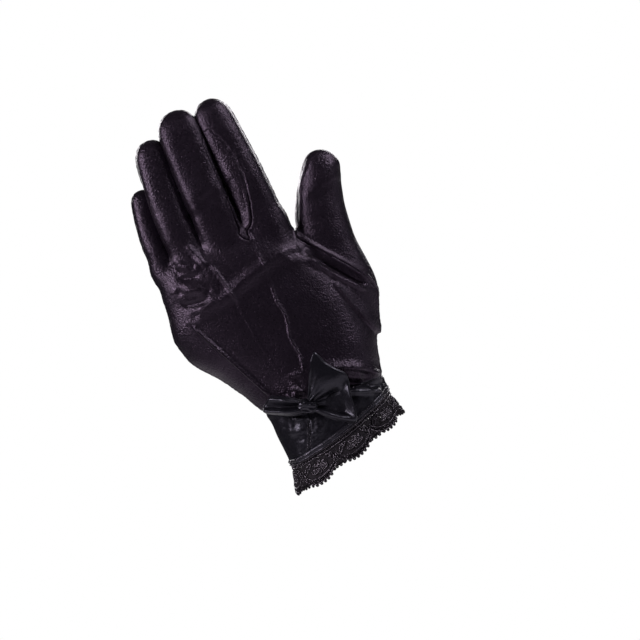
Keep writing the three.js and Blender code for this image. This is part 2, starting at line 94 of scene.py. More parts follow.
# Heights at which the hand's skin has a ring, and the distance over which its table is rounded
PALM_HEIGHTS = np.append(np.arange(-40.0, 96.0, 2.0), (97.0, 98.6))
PALM_BLUR = 3.0
HAND_SIDES = 128
# How square a section is: 1 is an oval, and less is squarer
SECTION_POWER = 0.86
# The elastic leans across the wrist; its axis in width and depth
ELASTIC_TILT = -0.12
WRIST_AXIS = (2.0, 0.5)
HEM_Z = -21.6
HEM_TILT = 0.226
# The hem rides up at the sides of the wrist: rise, and middle and half of the depth it fades over
HEM_LIFT = 3.0
HEM_LIFT_MIDDLE = 0.8
HEM_LIFT_DEPTH = 22.6

# Fingers: centre line at foot, middle and tip, top, half width at foot and tip, half depth, place in
# depth, how far the finger stands aside while the skin is made in one, height of its middle joint and
# how square its section is
FINGER_FOOT = 84.0
FINGER_MIDDLE = 130.0
FINGER_CURL = 7.0
FINGERS = {
    "index": dict(x=(11.4, 12.1, 10.0), top=174.0, wide=12.3, slim=10.9, deep=10.4, y=0.5, aside=4.4,
                  knuckle=127.0, power=0.70),
    "middle": dict(x=(-11.6, -11.1, -8.4), top=176.0, wide=12.5, slim=12.0, deep=10.4, y=0.0, aside=1.5,
                   knuckle=124.0, power=0.55),
    "ring": dict(x=(-32.3, -32.4, -27.2), top=166.8, wide=10.6, slim=9.6, deep=9.8, y=1.0, aside=-1.5,
                 knuckle=117.0, power=0.68),
    "little": dict(x=(-48.2, -45.9, -42.6), top=144.6, wide=7.2, slim=6.2, deep=8.6, y=3.0, aside=-7.0,
                   knuckle=108.0, power=0.80),
}
FINGER_SIDES = 48
FINGER_RINGS = 30
# Joint of a finger: half its length and its rise in depth; and the tip's depth as a share of its width
KNUCKLE_REACH = 9.0
KNUCKLE_RISE = 0.9
TIP_DEPTH = 0.86
# Fingertip: length as a share of half its width, roundness, rings and the angles that they span
TIP_ROUND = 1.3
TIP_SQUARE = 2.15
TIP_RINGS = 14
TIP_ANGLES = (8.0, 88.0)
TIP_POINT = 0.02
# Heights between which the fingers step aside
ASIDE_FROM = 93.0
ASIDE_TO = 108.0
HAND_TOP = 175.0

# Thumb: centre, half width and half depth, from the heel of the palm to the last joint
THUMB = np.array([
    (15.0, 5.0, 8.0, 14.0, 13.0),
    (25.5, 6.0, 30.0, 22.5, 15.0),
    (34.0, 7.0, 49.0, 22.4, 14.4),
    (38.4, 8.0, 72.0, 15.8, 12.6),
    (42.3, 9.0, 92.0, 14.7, 11.0),
    (51.2, 10.5, 110.0, 11.6, 9.4),
])
THUMB_RINGS = 40
THUMB_BLUR = 4.0
THUMB_POWER = 0.80
THUMB_TIP_LENGTH = 15.4
THUMB_CROTCH = (24.6, 81.5)
THUMB_SEAM_FOOT = (53.0, 42.0)
THUMB_SEAM_LEAN = 0.35
# The line between thumb and hand above the crotch: rise and step aside
THUMB_GAP = np.array([(0.0, 0.0), (12.0, 1.6), (48.5, 12.0)])

# Strips between the fingers: line at foot and top, place in depth, foot, top, and the reach, back edge
# and palm edge on the finger to either side; the outward one shows beside the index finger
STRIPS = {
    "fourchette_index_middle": dict(line=(0.9, 0.6), y=0.4, foot=93.5, top=163.0,
                                    near=(10.2, -15.0, 1.2), far=(8.5, -4.6, 4.6), outward=True),
    "fourchette_middle_ring": dict(line=(-22.8, -21.0), y=0.6, foot=93.5, top=156.0,
                                   near=(8.0, -4.6, 4.6), far=(7.5, -4.6, 4.6)),
    "fourchette_ring_little": dict(line=(-42.4, -40.4), y=2.8, foot=93.5, top=134.0, curl_top=150.0,
                                   near=(6.0, -2.6, 3.6), far=(3.2, -2.4, 3.2)),
}
# Length of a strip's pointed top and how narrow it ends, and length of its round foot
STRIP_POINT = 12.0
STRIP_POINT_SHARE = 0.25
STRIP_FOOT = 7.0
# The outward strip: height and reach
STRIP_REACH = np.array([(98.5, 0.2), (99.6, 2.6), (101.0, 4.4), (104.0, 6.0), (112.0, 8.6), (127.0, 12.0),
                        (140.0, 11.4), (150.0, 9.2), (157.0, 5.8), (161.0, 2.6), (163.0, 0.4)])

# Folds and creases of the worn satin: kind, rise, soft width to the left and to the right of its path,
# and the path seen from the back; a crisp fold gets finer faces, and a palm fold lies on the palm's side
FOLDS = [
    # pin tucks
    ("crisp", 1.7, 1.3, 0.7, [(-47.7, 64.4), (-36.6, 39.0), (-24.2, 10.6)]),
    ("crisp", 0.9, 1.1, 0.7, [(-24.6, 91.0), (-22.8, 84.0), (-20.4, 71.0), (-19.0, 62.0)]),
    ("crisp", 0.12, 0.8, 0.7, [(-20.4, 70.0), (-18.4, 45.0), (-15.0, 20.0)]),
    ("crisp", 0.3, 0.9, 0.7, [(1.4, 90.0), (2.0, 76.0), (1.0, 66.0)]),
    ("crisp", 0.5, 0.9, 0.65, [(1.4, 68.0), (0.2, 56.0), (1.2, 47.0), (-1.6, 35.0), (-0.8, 24.0),
                               (-3.2, 13.0)]),
    # crease over the knuckles and the folds beside the little finger
    ("soft", 1.7, 2.9, 4.6, [(-44.0, 68.0), (-34.0, 70.5), (-25.5, 70.2), (-12.0, 74.0), (3.5, 78.0),
                             (11.9, 79.3), (18.4, 76.4)]),
    ("soft", 1.3, 1.6, 1.3, [(-32.7, 107.2), (-29.6, 98.0), (-26.3, 88.4)]),
    ("soft", 2.2, 3.6, 2.8, [(-46.0, 83.0), (-39.0, 81.2), (-31.0, 77.4)]),
    ("soft", -1.2, 1.6, 1.6, [(-46.0, 91.6), (-40.0, 88.6), (-31.0, 86.6)]),
    ("soft", -1.5, 1.5, 1.6, [(-50.0, 77.4), (-42.0, 74.0), (-31.0, 72.4)]),
    ("soft", 1.8, 2.6, 2.2, [(-42.5, 98.0), (-38.0, 95.0), (-33.5, 92.5)]),
    ("soft", -0.8, 1.4, 1.4, [(-45.0, 101.0), (-43.6, 95.6), (-41.0, 90.6)]),
    ("soft", 0.8, 2.4, 2.4, [(18.0, 74.0), (24.0, 71.0), (31.0, 63.0)]),
    # bend of the middle finger
    ("soft", -1.0, 2.6, 6.0, [(-20.0, 121.6), (-11.0, 123.4), (-2.0, 126.0)]),
    # channel and ridges of the thumb's set-in seam, and the flap at the thumb's foot
    ("soft", -2.0, 1.9, 1.9, [(25.6, 75.2), (31.0, 67.0), (40.0, 56.0), (49.8, 43.4)]),
    ("crisp", 1.5, 1.7, 0.8, [(24.6, 84.6), (28.2, 80.2), (40.5, 62.0), (53.0, 43.2)]),
    ("crisp", 1.5, 1.5, 1.4, [(24.8, 72.0), (27.6, 65.4), (36.0, 54.6), (48.6, 40.4)]),
    ("crisp", 2.0, 5.0, 1.0, [(31.6, 55.0), (34.4, 44.0), (38.2, 32.0), (42.6, 20.0), (46.0, 14.0)]),
    # fold below the thumb's tip
    ("soft", 1.0, 7.0, 3.2, [(34.0, 103.0), (43.0, 103.6), (52.0, 106.0), (62.0, 108.0)]),
    # side seam of the thumb
    ("crisp", 0.8, 0.8, 0.8, [(50.0, 122.0), (41.2, 112.0), (35.6, 102.0), (29.4, 89.0)]),
    # puckers above the elastic, left of the bow
    ("crisp", 0.8, 1.3, 0.9, [(-10.4, 15.8), (-7.0, 16.2), (-3.0, 14.0)]),
    ("crisp", 1.3, 1.3, 1.1, [(-11.0, 11.4), (-9.4, 7.4), (-5.4, 5.2)]),
    ("crisp", 0.9, 1.1, 1.1, [(-11.6, 8.6), (-12.6, 4.4), (-12.0, 0.4)]),
    ("crisp", 0.6, 1.3, 1.3, [(-17.0, 9.0), (-14.6, 5.0), (-14.0, 0.5)]),
    # puffs at the thumb's side of the wrist
    ("crisp", 2.3, 2.8, 1.4, [(8.0, 12.6), (15.0, 9.6), (24.0, 5.2), (31.0, -0.8), (35.6, -8.0)]),
    ("crisp", -2.2, 2.0, 2.0, [(10.0, 3.4), (18.0, -0.2), (27.0, -5.4), (35.0, -10.4)]),
    ("crisp", 2.0, 2.2, 1.2, [(8.0, -2.6), (15.7, -5.2), (24.0, -9.0), (33.6, -12.6)]),
    # puckers of the cuff below the bow
    ("crisp", 0.7, 1.2, 1.0, [(-19.4, -4.8), (-16.0, -6.6), (-12.6, -6.4)]),
    ("crisp", 0.8, 2.8, 2.2, [(-25.0, -7.4), (-21.4, -12.0), (-16.6, -12.6), (-12.6, -10.6)]),
    ("crisp", 0.6, 3.0, 2.0, [(-6.2, -13.0), (-9.0, -16.4), (-12.0, -19.0)]),
    ("crisp", 0.6, 2.6, 2.2, [(-18.6, -17.4), (-21.2, -20.4), (-22.6, -23.0)]),
    ("crisp", -0.4, 2.8, 2.8, [(0.0, -10.0), (-2.6, -17.0), (-4.6, -21.0)]),
    ("crisp", 0.4, 2.6, 2.6, [(9.0, -17.0), (14.0, -11.6), (22.0, -12.4)]),
    # fullness over the thumb's mound
    ("soft", 1.3, 5.0, 14.0, [(24.0, 74.0), (29.0, 52.0), (31.0, 30.0), (28.0, 0.0)]),
    # creases of the palm
    ("palm", -0.9, 2.2, 3.0, [(-54.0, 80.0), (-34.0, 86.0), (-14.0, 86.0), (8.0, 90.0)]),
    ("palm", -0.9, 2.4, 3.2, [(24.0, 78.0), (2.0, 74.0), (-22.0, 62.0), (-44.0, 52.0)]),
    ("palm", -1.1, 3.0, 2.4, [(23.0, 74.0), (8.0, 60.0), (2.0, 38.0), (8.0, 14.0)]),
]
# A fold is felt this far from its path; a side of the hand starts over this much of the cloth's slope
FOLD_REACH = 30.0
SIDE_SLOPE = 0.3
PATH_STEP = 2.0
# A fold fades out over this length at its ends, or over this share of a short one
FOLD_FADE = 6.0
FOLD_FADE_SHARE = 0.35

# The cuff's closing seam on the back
CUFF_SEAM = [(-11.4, -9.6), (-13.4, -15.0), (-16.4, -21.4), (-19.6, -27.6)]
CUFF_SEAM_DEPTH = 1.1
CUFF_SEAM_WIDTH = 0.85

# Side seam: place in depth at the wrist and the finger roots, and how gently it passes from one
# finger's middle to the next one's
SEAM_AT_WRIST = 0.5
SEAM_AT_ROOTS = 1.0
SEAM_BLEND = 4.0
SEAM_TIP_EASE = 0.88

# Sewn seams: width of the groove, place and width of the puffs beside it, heights above the elastic
# over which they begin
GROOVE_WIDTH = 0.45
PUFF_PLACE = 1.25
PUFF_WIDTH = 0.75
SEAM_BEGINS = (1.0, 5.0)
# Along the outward strip the seam fades by this share between these heights, this near to its edge
STRIP_FADE = 0.8
STRIP_FADE_HEIGHTS = (104.0, 134.0)
STRIP_FADE_REACH = 3.0

# Shirring either side of the elastic: waves round the wrist, how far each wanders and its share, then
# depth and reach up and down; and the groove that the elastic pulls in
SHIRR_WAVES = [(17, 2.2, 1.0), (29, 3.0, 0.7)]
SHIRR_DEPTH = 0.36
SHIRR_UP = 9.0
SHIRR_DOWN = 13.0
ELASTIC_DEPTH = 1.3
ELASTIC_WIDTH = 1.5

# Unevenness: wavelength, seed and share
WANDER = (14.0, 3.1, 1.0)
CRUMPLES = [(21.0, 7.7, 1.0), (9.0, 12.3, 0.5)]
PUCKER = (1.7, 5.5, 0.5)

# How near to the elastic, a crisp fold's path or a seam the satin has finer faces
FINE = dict(elastic=7.0, back=10.0, fold=3.6, fold_share=1.2, fold_margin=1.4, thumb=2.6, strip=2.2,
            side=2.0)
# Rounds of smoothing for the whole skin and for the finger roots and the thumb's seam
SKIN_ROUNDS = 14
BEND_ROUNDS = 12
BEND_REPEATS = 6
# Heights between which the finger roots are smoothed most, and reach of that beside the thumb's seam
ROOTS_BELOW = (78.0, 92.0)
ROOTS_ABOVE = (103.0, 114.0)
THUMB_SEAM_BLEND = 10.0
# A cut keeps this share of an edge clear of its ends, and what hangs this far below the hem goes
CUT_MARGIN = 0.08
HEM_TRIM = -0.03

# Share of a wall's faces that stay once its inside is plainer than its outside, and the angle in
# degrees from which an edge is crisp
WALL_FACES = 0.58
WALL_EDGE = 55.0


def length_property(name, description, millimetres):
    """A length that the user may change."""
    return FloatProperty(name=name, description=description, default=millimetres * MM, unit="LENGTH",
                         subtype="DISTANCE")


def colour_property(name, description, default):
    """A colour that the user may change."""
    return FloatVectorProperty(name=name, description=description, default=default, size=4,
                               subtype="COLOR")


class GloveSizes(bpy.types.PropertyGroup):
    """Sizes of the glove's cloth, stitching, lace and bow."""

    skin_step: length_property("Skin step", "Width of a face of the satin skin", 0.75)
    cloth: length_property("Cloth", "Thickness of the stretch satin", 1.1)
    seam_depth: length_property("Seam depth", "How deep a closing seam lies", 0.7)
    seam_puff: length_property("Seam puff", "Rise of the satin on both sides of a seam", 0.42)
    crumple: length_property("Crumple", "Height of the soft unevenness of the worn satin", 0.4)
    stitch_length: length_property("Stitch length", "Length of one stitch", 1.0)
    stitch_pitch: length_property("Stitch pitch", "Distance from stitch to stitch", 1.5)
    stitch_thread: length_property("Stitch thread", "Radius of the sewing thread", 0.27)
    hem_height: length_property("Hem height", "Height of the hem band", 3.0)
    lace_cord: length_property("Lace cord", "Radius of the lace's outline cord", 0.42)
    lace_net: length_property("Lace net", "Radius of the thread of the net ground", 0.2)
    net_pitch: length_property("Net pitch", "Width of a mesh of the net ground", 1.3)
    ribbon: length_property("Ribbon", "Thickness of the bow's ribbon", 0.42)


class GloveColours(bpy.types.PropertyGroup):
    """Colours of the glove and its surroundings."""

    satin: colour_property("Satin", "Stretch satin of the hand", (0.0042, 0.0028, 0.0052, 1.0))
    satin_sheen: colour_property("Satin sheen", "Bloom of the satin at a low angle",
                                 (0.60, 0.50, 0.60, 1.0))
    ribbon: colour_property("Ribbon", "Glossier satin of the bow and cuff", (0.0030, 0.0028, 0.0046, 1.0))
    lace: colour_property("Lace", "Cotton thread of the lace and the stitches",
                          (0.0050, 0.0038, 0.0056, 1.0))
    floor: colour_property("Floor", "Plain pale floor", (0.86, 0.86, 0.86, 1.0))


def sizes():
    return bpy.context.scene.glove_sizes


def colours():
    return bpy.context.scene.glove_colours


# Section and path helpers

BLUR_PLACES = np.linspace(-1.5, 1.5, 13)
SPLINE_STEPS = 12


def smoothstep(low, high, value):
    share = np.clip((value - low) / (high - low), 0.0, 1.0)
    return share * share * (3.0 - 2.0 * share)


def soft_rows(table, key, places, blur):
    """Rows of a section table at given places, rounded over a distance so that no kink shows."""
    weights = np.exp(-BLUR_PLACES ** 2)
    weights /= weights.sum()
    columns = []
    for column in range(table.shape[1]):
        samples = [np.interp(places + place * blur, key, table[:, column]) for place in BLUR_PLACES]
        columns.append(np.tensordot(weights, np.array(samples), axes=1))
    return np.stack(columns, axis=1)


def with_ends(rows):
    """Rows with one more before the first and after the last, straight on."""
    return np.concatenate([[2 * rows[0] - rows[1]], rows, [2 * rows[-1] - rows[-2]]])


def spline(a, b, c, d, t):
    """The place at share t from b to c on a soft curve that comes from a and goes on to d."""
    return 0.5 * (2 * b + (c - a) * t + (2 * a - 5 * b + 4 * c - d) * t * t
                  + (3 * b - a - 3 * c + d) * t ** 3)


def smooth_path(points, step):
    """Points at an even step along a soft curve through the given ones."""
    rows = with_ends(np.array(points, dtype=float))
    shares = np.linspace(0.0, 1.0, SPLINE_STEPS, endpoint=False)
    fine = [spline(*rows[i:i + 4], t) for i in range(len(rows) - 3) for t in shares]
    fine = np.array(fine + [rows[-2]])
    lengths = np.concatenate([[0.0], np.cumsum(np.linalg.norm(np.diff(fine, axis=0), axis=1))])
    places = np.linspace(0.0, lengths[-1], max(2, int(round(lengths[-1] / step)) + 1))
    return np.stack([np.interp(places, lengths, fine[:, axis]) for axis in range(fine.shape[1])], axis=1)


def spline_rows(rows, count):
    """Soft rows between control rows, along the first axis."""
    ends = with_ends(rows)
    result = []
    for place in np.linspace(0.0, len(rows) - 1.0, count):
        i = min(int(place), len(rows) - 2)
        result.append(spline(*ends[i:i + 4], place - i))
    return np.array(result)


def ripple(places, waves):
    """Sum of even waves, each with its height, count and start."""
    return sum(high * np.sin(count * places + start) for high, count, start in waves)


def section_power(value, power=SECTION_POWER):
    return np.sign(value) * np.abs(value) ** power


def section_point(turn, left, right, back, palm, out=0.0):
    """Width and depth of a place on the hand's section at an angle, a distance out from it."""
    x = (left + right) / 2 + ((right - left) / 2 + out) * section_power(np.cos(turn))
    y = (back + palm) / 2 + ((palm - back) / 2 + out) * section_power(np.sin(turn))
    return x, y


def angles(count):
    """Even angles once round, without the last."""
    return np.linspace(0.0, 2.0 * math.pi, count, endpoint=False)


def grid_faces(rows, count, around=True, over=False):
    """Faces between rows of points: around closes each row, over joins the last row to the first."""
    faces = []
    for r in range(rows if over else rows - 1):
        below, above = r * count, (r + 1) % rows * count
        for i in range(count if around else count - 1):
            j = (i + 1) % count
            faces.append((below + i, below + j, above + j, above + i))
    return faces


def loft(rings, tail, tip):
    """Closed surface through rings of equal count with a point over each end."""
    rows, count = rings.shape[:2]
    points = np.concatenate([rings.reshape(-1, 3), [tail, tip]])
    faces = grid_faces(rows, count)
    tail_point, tip_point, last = rows * count, rows * count + 1, (rows - 1) * count
    for i in range(count):
        j = (i + 1) % count
        faces.append((tail_point, j, i))
        faces.append((tip_point, last + i, last + j))
    return points, faces


def limb(centres, wide, deep, tip_length, power):
    """Skin of a finger or the thumb: rings square to its centre line and a round tip."""
    direction = centres[-1] - centres[-2]
    direction /= np.linalg.norm(direction)
    rise = np.sin(np.radians(np.linspace(*TIP_ANGLES, TIP_RINGS)))
    tips = centres[-1] + direction * (tip_length * rise)[:, None]
    round_off = (1.0 - rise ** TIP_SQUARE) ** (1.0 / TIP_SQUARE)
    centres = np.concatenate([centres, tips])
    wide = np.concatenate([wide, wide[-1] * round_off])
    deep = np.concatenate([deep, deep[-1] * round_off])
    along = np.gradient(centres, axis=0)
    along /= np.linalg.norm(along, axis=1)[:, None]
    across = np.array([1.0, 0.0, 0.0]) - along * along[:, :1]
    across /= np.linalg.norm(across, axis=1)[:, None]
    through = np.cross(along, across)
    turn = angles(FINGER_SIDES)
    sideways = wide[:, None] * section_power(np.cos(turn), power)
    inwards = deep[:, None] * section_power(np.sin(turn), power)
    rings = (centres[:, None, :] + across[:, None, :] * sideways[:, :, None]
             + through[:, None, :] * inwards[:, :, None])
    return loft(rings, centres[0], centres[-1] + direction * TIP_POINT)


def finger_centre(finger, z):
    """Width and depth of a finger's middle line at a height."""
    share = (z - FINGER_FOOT) / (finger["top"] - FINGER_FOOT)
    middle = (FINGER_MIDDLE - FINGER_FOOT) / (finger["top"] - FINGER_FOOT)
    foot_x, middle_x, tip_x = finger["x"]
    x = (foot_x * (share - middle) * (share - 1.0) / middle
         + middle_x * share * (share - 1.0) / (middle * (middle - 1.0))
         + tip_x * share * (share - middle) / (1.0 - middle))
    return x, finger["y"] + FINGER_CURL * share * share


def aside(finger, z):
    return finger["aside"] * smoothstep(ASIDE_FROM, ASIDE_TO, z)


def finger_size(finger, z):
    """Half width and half depth of a finger at a height."""
    straight = finger["top"] - finger["slim"] * TIP_ROUND - FINGER_FOOT
    share = np.clip((z - FINGER_FOOT) / straight, 0.0, 1.0)
    joint = np.exp(-((z - finger["knuckle"]) / KNUCKLE_REACH) ** 2)
    wide = finger["wide"] + (finger["slim"] - finger["wide"]) * share
    deep = finger["deep"] + (finger["slim"] * TIP_DEPTH - finger["deep"]) * share + KNUCKLE_RISE * joint
    return wide, deep


def finger_reach(points, finger, shift=0.0):
    """Distance of places from a finger's middle line as a share of its size; 1 on its skin."""
    x, y, z = points.T
    middle_x, middle_y = finger_centre(finger, np.clip(z, FINGER_FOOT, finger["top"]))
    wide, deep = finger_size(finger, z)
    past = np.maximum(z - finger["top"], 0.0)
    return np.hypot((x - middle_x - shift) / wide, (y - middle_y) / deep) + past


def finger_skin(finger):
    tip_length = finger["slim"] * TIP_ROUND
    z = np.linspace(FINGER_FOOT, finger["top"] - tip_length, FINGER_RINGS)
    x, y = finger_centre(finger, z)
    wide, deep = finger_size(finger, z)
    centres = np.stack([x + aside(finger, z), y, z], axis=1)
    return limb(centres, wide, deep, tip_length, finger["power"])


def palm_skin():
    sections = soft_rows(PALM, PALM[:, 0], PALM_HEIGHTS, PALM_BLUR)[:, 1:]
    left, right, back, palm = (sections[:, side:side + 1] for side in range(4))
    x, y = section_point(angles(HAND_SIDES), left, right, back, palm)
    rings = np.stack([x, y, np.repeat(PALM_HEIGHTS[:, None], HAND_SIDES, axis=1)], axis=2)
    return loft(rings, rings[0].mean(axis=0), rings[-1].mean(axis=0))


def thumb_skin():
    key = np.concatenate([[0.0], np.cumsum(np.linalg.norm(np.diff(THUMB[:, :3], axis=0), axis=1))])
    rows = soft_rows(THUMB, key, np.linspace(0.0, key[-1], THUMB_RINGS), THUMB_BLUR)
    return limb(rows[:, :3], rows[:, 3], rows[:, 4], THUMB_TIP_LENGTH, THUMB_POWER)


# Mesh helpers

def new_mesh(name, points, faces=(), edges=()):
    """A mesh from millimetre points."""
    mesh = bpy.data.meshes.new(name)
    mesh.from_pydata((np.asarray(points, dtype=float) * MM).tolist(), list(edges), list(faces))
    mesh.update()
    return mesh


def fix_outward(mesh, merge=0.0):
    """Turns a closed mesh's faces outwards, after it merges points that lie this near together."""
    work = bmesh.new()
    work.from_mesh(mesh)
    if merge:
        bmesh.ops.remove_doubles(work, verts=work.verts, dist=merge)
    bmesh.ops.recalc_face_normals(work, faces=work.faces)
    work.to_mesh(mesh)
    work.free()
    return mesh


def new_piece(name, mesh, material=None):
    piece = bpy.data.objects.new(name, mesh)
    bpy.context.scene.collection.objects.link(piece)
    if material:
        mesh.materials.clear()
        mesh.materials.append(material)
    return piece


def settle(piece):
    """Turns what a piece's modifiers make into its plain mesh."""
    depsgraph = bpy.context.evaluated_depsgraph_get()
    mesh = bpy.data.meshes.new_from_object(piece.evaluated_get(depsgraph))
    old = piece.data
    piece.modifiers.clear()
    piece.data = mesh
    mesh.name = piece.name
    bpy.data.meshes.remove(old)
    return piece


def finish_piece(piece, slot, *nodes):
    """Says which body a piece rides on and hides the solids that it stands for; the slot for what it is
    made of is not used.
    """
    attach(piece, "root")
    if nodes:
        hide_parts(*nodes)


def mesh_points(mesh):
    points = np.empty(len(mesh.vertices) * 3)
    mesh.vertices.foreach_get("co", points)
    return points.reshape(-1, 3) / MM


def mesh_edges(mesh):
    edges = np.empty(len(mesh.edges) * 2, dtype=np.int64)
    mesh.edges.foreach_get("vertices", edges)
    return edges.reshape(-1, 2)


def set_points(mesh, points):
    mesh.vertices.foreach_set("co", (points * MM).ravel())
    mesh.update()


def relax(points, edges, rounds, weight=0.5):
    """Moves each point part of the way to the middle of its neighbours, again and again."""
    count = len(points)
    degree = np.maximum(np.bincount(edges.ravel(), minlength=count), 1)[:, None]
    for _ in range(rounds):
        total = np.empty_like(points)
        for axis in range(3):
            total[:, axis] = (np.bincount(edges[:, 0], points[edges[:, 1], axis], count)
                              + np.bincount(edges[:, 1], points[edges[:, 0], axis], count))
        points = points + (total / degree - points) * weight
    return points


def uneven(points, wavelength, seed, share=1.0):
    """Smooth random height over points, about as far up and down as its share."""
    shift = Vector((seed, seed * 2.3, seed * 0.7))
    return share * np.array([noise.noise(Vector(p) / wavelength + shift) for p in points])


def thickened(piece, thickness):
    """Gives a sheet half its thickness to each side."""
    thick = piece.modifiers.new("thickness", "SOLIDIFY")
    thick.thickness = thickness
    thick.offset = 0.0
    return piece


def wall(piece, thickness):
    """Gives a sheet its thickness inwards, with crisp edges and larger faces on the inside."""
    inside = piece.vertex_groups.new(name="inside")
    solid = piece.modifiers.new("wall", "SOLIDIFY")
    solid.thickness = thickness
    solid.offset = -1.0
    solid.use_rim = True
    solid.shell_vertex_group = inside.name
    plainer = piece.modifiers.new("plainer inside", "DECIMATE")
    plainer.ratio = WALL_FACES
    plainer.vertex_group = inside.name
    settle(piece)
    piece.vertex_groups.clear()
    piece.data.shade_smooth()
    piece.data.set_sharp_from_angle(angle=math.radians(WALL_EDGE))
    return piece


# The satin skin and its pattern pieces

def skin_in_one():
    """The glove's outside as one skin, its fingers standing apart."""
    points, faces, start = [], [], 0
    for part in [palm_skin(), thumb_skin()] + [finger_skin(finger) for finger in FINGERS.values()]:
        points.append(part[0])
        faces.extend(tuple(v + start for v in face) for face in part[1])
        start += len(part[0])
    piece = new_piece("skin", fix_outward(new_mesh("skin", np.concatenate(points), faces)))
    remesh = piece.modifiers.new("skin", "REMESH")
    remesh.mode = "VOXEL"
    remesh.voxel_size = sizes().skin_step
    remesh.adaptivity = 0.0
    return settle(piece)


def thumb_side(points):
    """Distance past the thumb's seam; above zero on the thumb."""
    x, y, z = points.T
    crotch_x, crotch_z = THUMB_CROTCH
    run = np.array(THUMB_SEAM_FOOT) - np.array(THUMB_CROTCH)
    run /= np.linalg.norm(run)
    out = np.array([-run[1], THUMB_SEAM_LEAN, run[0]])
    out /= np.linalg.norm(out)
    past = (points - np.array([crotch_x, 0.0, crotch_z])) @ out
    upper = np.interp(z, crotch_z + THUMB_GAP[:, 0], crotch_x + THUMB_GAP[:, 1])
    return np.where(z > crotch_z, np.minimum(past, x - upper), past)


def side_seam(points):
    """Depth of the side seam: along the hand's sides and through the middle of each finger."""
    z = points[:, 2]
    gaps, depths = [], []
    for finger in FINGERS.values():
        past = np.maximum(z - finger["top"], 0.0)
        gaps.append(finger_reach(points, finger) - SEAM_TIP_EASE * past)
        depths.append(finger_centre(finger, np.clip(z, FINGER_FOOT, finger["top"]))[1])
    weight = np.exp(SEAM_BLEND * (np.min(gaps, axis=0) - np.array(gaps)))
    depth = np.sum(weight * np.array(depths), axis=0) / np.sum(weight, axis=0)
    high = SEAM_AT_ROOTS + (depth - SEAM_AT_ROOTS) * smoothstep(FINGER_FOOT, ASIDE_TO, z)
    low = np.interp(z, [0.0, FINGER_FOOT], [SEAM_AT_WRIST, SEAM_AT_ROOTS])
    return np.where(z < FINGER_FOOT, low, high)


def strip_side(points, strip):
    """Above zero on the strip between two fingers."""
    x, y, z = points.T
    foot_z, top_z = strip["foot"], strip["top"]
    share = (z - FINGER_FOOT) / (top_z - FINGER_FOOT)
    off_line = x - (strip["line"][0] + (strip["line"][1] - strip["line"][0]) * share)
    bent = (z - FINGER_FOOT) / (strip.get("curl_top", HAND_TOP) - FINGER_FOOT)
    middle = strip["y"] + FINGER_CURL * np.maximum(bent, 0.0) ** 2
    narrow = np.interp(z, [top_z - STRIP_POINT, top_z], [1.0, STRIP_POINT_SHARE])
    near_x, near_back, near_palm = strip["near"]
    far_x, far_back, far_palm = strip["far"]
    rounding = np.sqrt(1.0 - (1.0 - np.clip((z - foot_z) / STRIP_FOOT, 0.0, 1.0)) ** 2)
    near_x, far_x = near_x * rounding, far_x * rounding
    if strip.get("outward"):
        near_x = np.interp(z, STRIP_REACH[:, 0], STRIP_REACH[:, 1])
    across = np.clip((off_line + far_x) / (near_x + far_x + 0.01), 0.0, 1.0)
    back = (far_back + (near_back - far_back) * across) * narrow + middle
    palm = (far_palm + (near_palm - far_palm) * across) * narrow + middle
    edges = [y - back, palm - y, off_line + far_x, near_x - off_line, z - foot_z, top_z - z]
    return np.minimum.reduce(edges)


def above_elastic(points):
    return points[:, 2] - ELASTIC_TILT * points[:, 0]


def hem_line(x, y):
    """Height of the cuff's lower edge over a place seen from below."""
    side = np.clip(1.0 - ((y - HEM_LIFT_MIDDLE) / HEM_LIFT_DEPTH) ** 2, 0.0, 1.0)
    return HEM_Z + HEM_TILT * x + HEM_LIFT * side


def above_hem(points):
    return points[:, 2] - hem_line(points[:, 0], points[:, 1])


PANELS = ["back_panel", "palm_panel", "thumb", "cuff"] + list(STRIPS)
BACK, PALM_SIDE, THUMB_PANEL, CUFF, FIRST_STRIP = range(5)


def panel_of(points):
    """Number of the pattern piece that each place belongs to."""
    owner = np.where(points[:, 1] < side_seam(points), BACK, PALM_SIDE)
    for row, strip in enumerate(STRIPS.values()):
        owner[strip_side(points, strip) > 0.0] = FIRST_STRIP + row
    owner[thumb_side(points) > 0.0] = THUMB_PANEL
    owner[above_elastic(points) < 0.0] = CUFF
    return owner


def path_reach(points, path):
    """Distance to a path seen from the back, with its sign, above zero to the left of the way along it."""
    flat = points[:, [0, 2]]
    best = np.full(len(flat), np.inf)
    signed = np.zeros(len(flat))
    for start, end in zip(path[:-1], path[1:]):
        run = end - start
        length = np.linalg.norm(run)
        run = run / length
        offset = flat - start
        along = np.clip(offset @ run, 0.0, length)
        gap = np.linalg.norm(offset - along[:, None] * run, axis=1)
        side = np.where(run[0] * offset[:, 1] - run[1] * offset[:, 0] >= 0.0, 1.0, -1.0)
        closer = gap < best
        best[closer] = gap[closer]
        signed[closer] = (side * gap)[closer]
    return signed


def path_fade(points, path):
    """Fades a fold out towards the ends of its path."""
    ends = [np.linalg.norm(points[:, [0, 2]] - end, axis=1) for end in (path[0], path[-1])]
    length = np.linalg.norm(np.diff(path, axis=0), axis=1).sum()
    return smoothstep(0.0, min(FOLD_FADE, length * FOLD_FADE_SHARE), np.minimum(*ends))


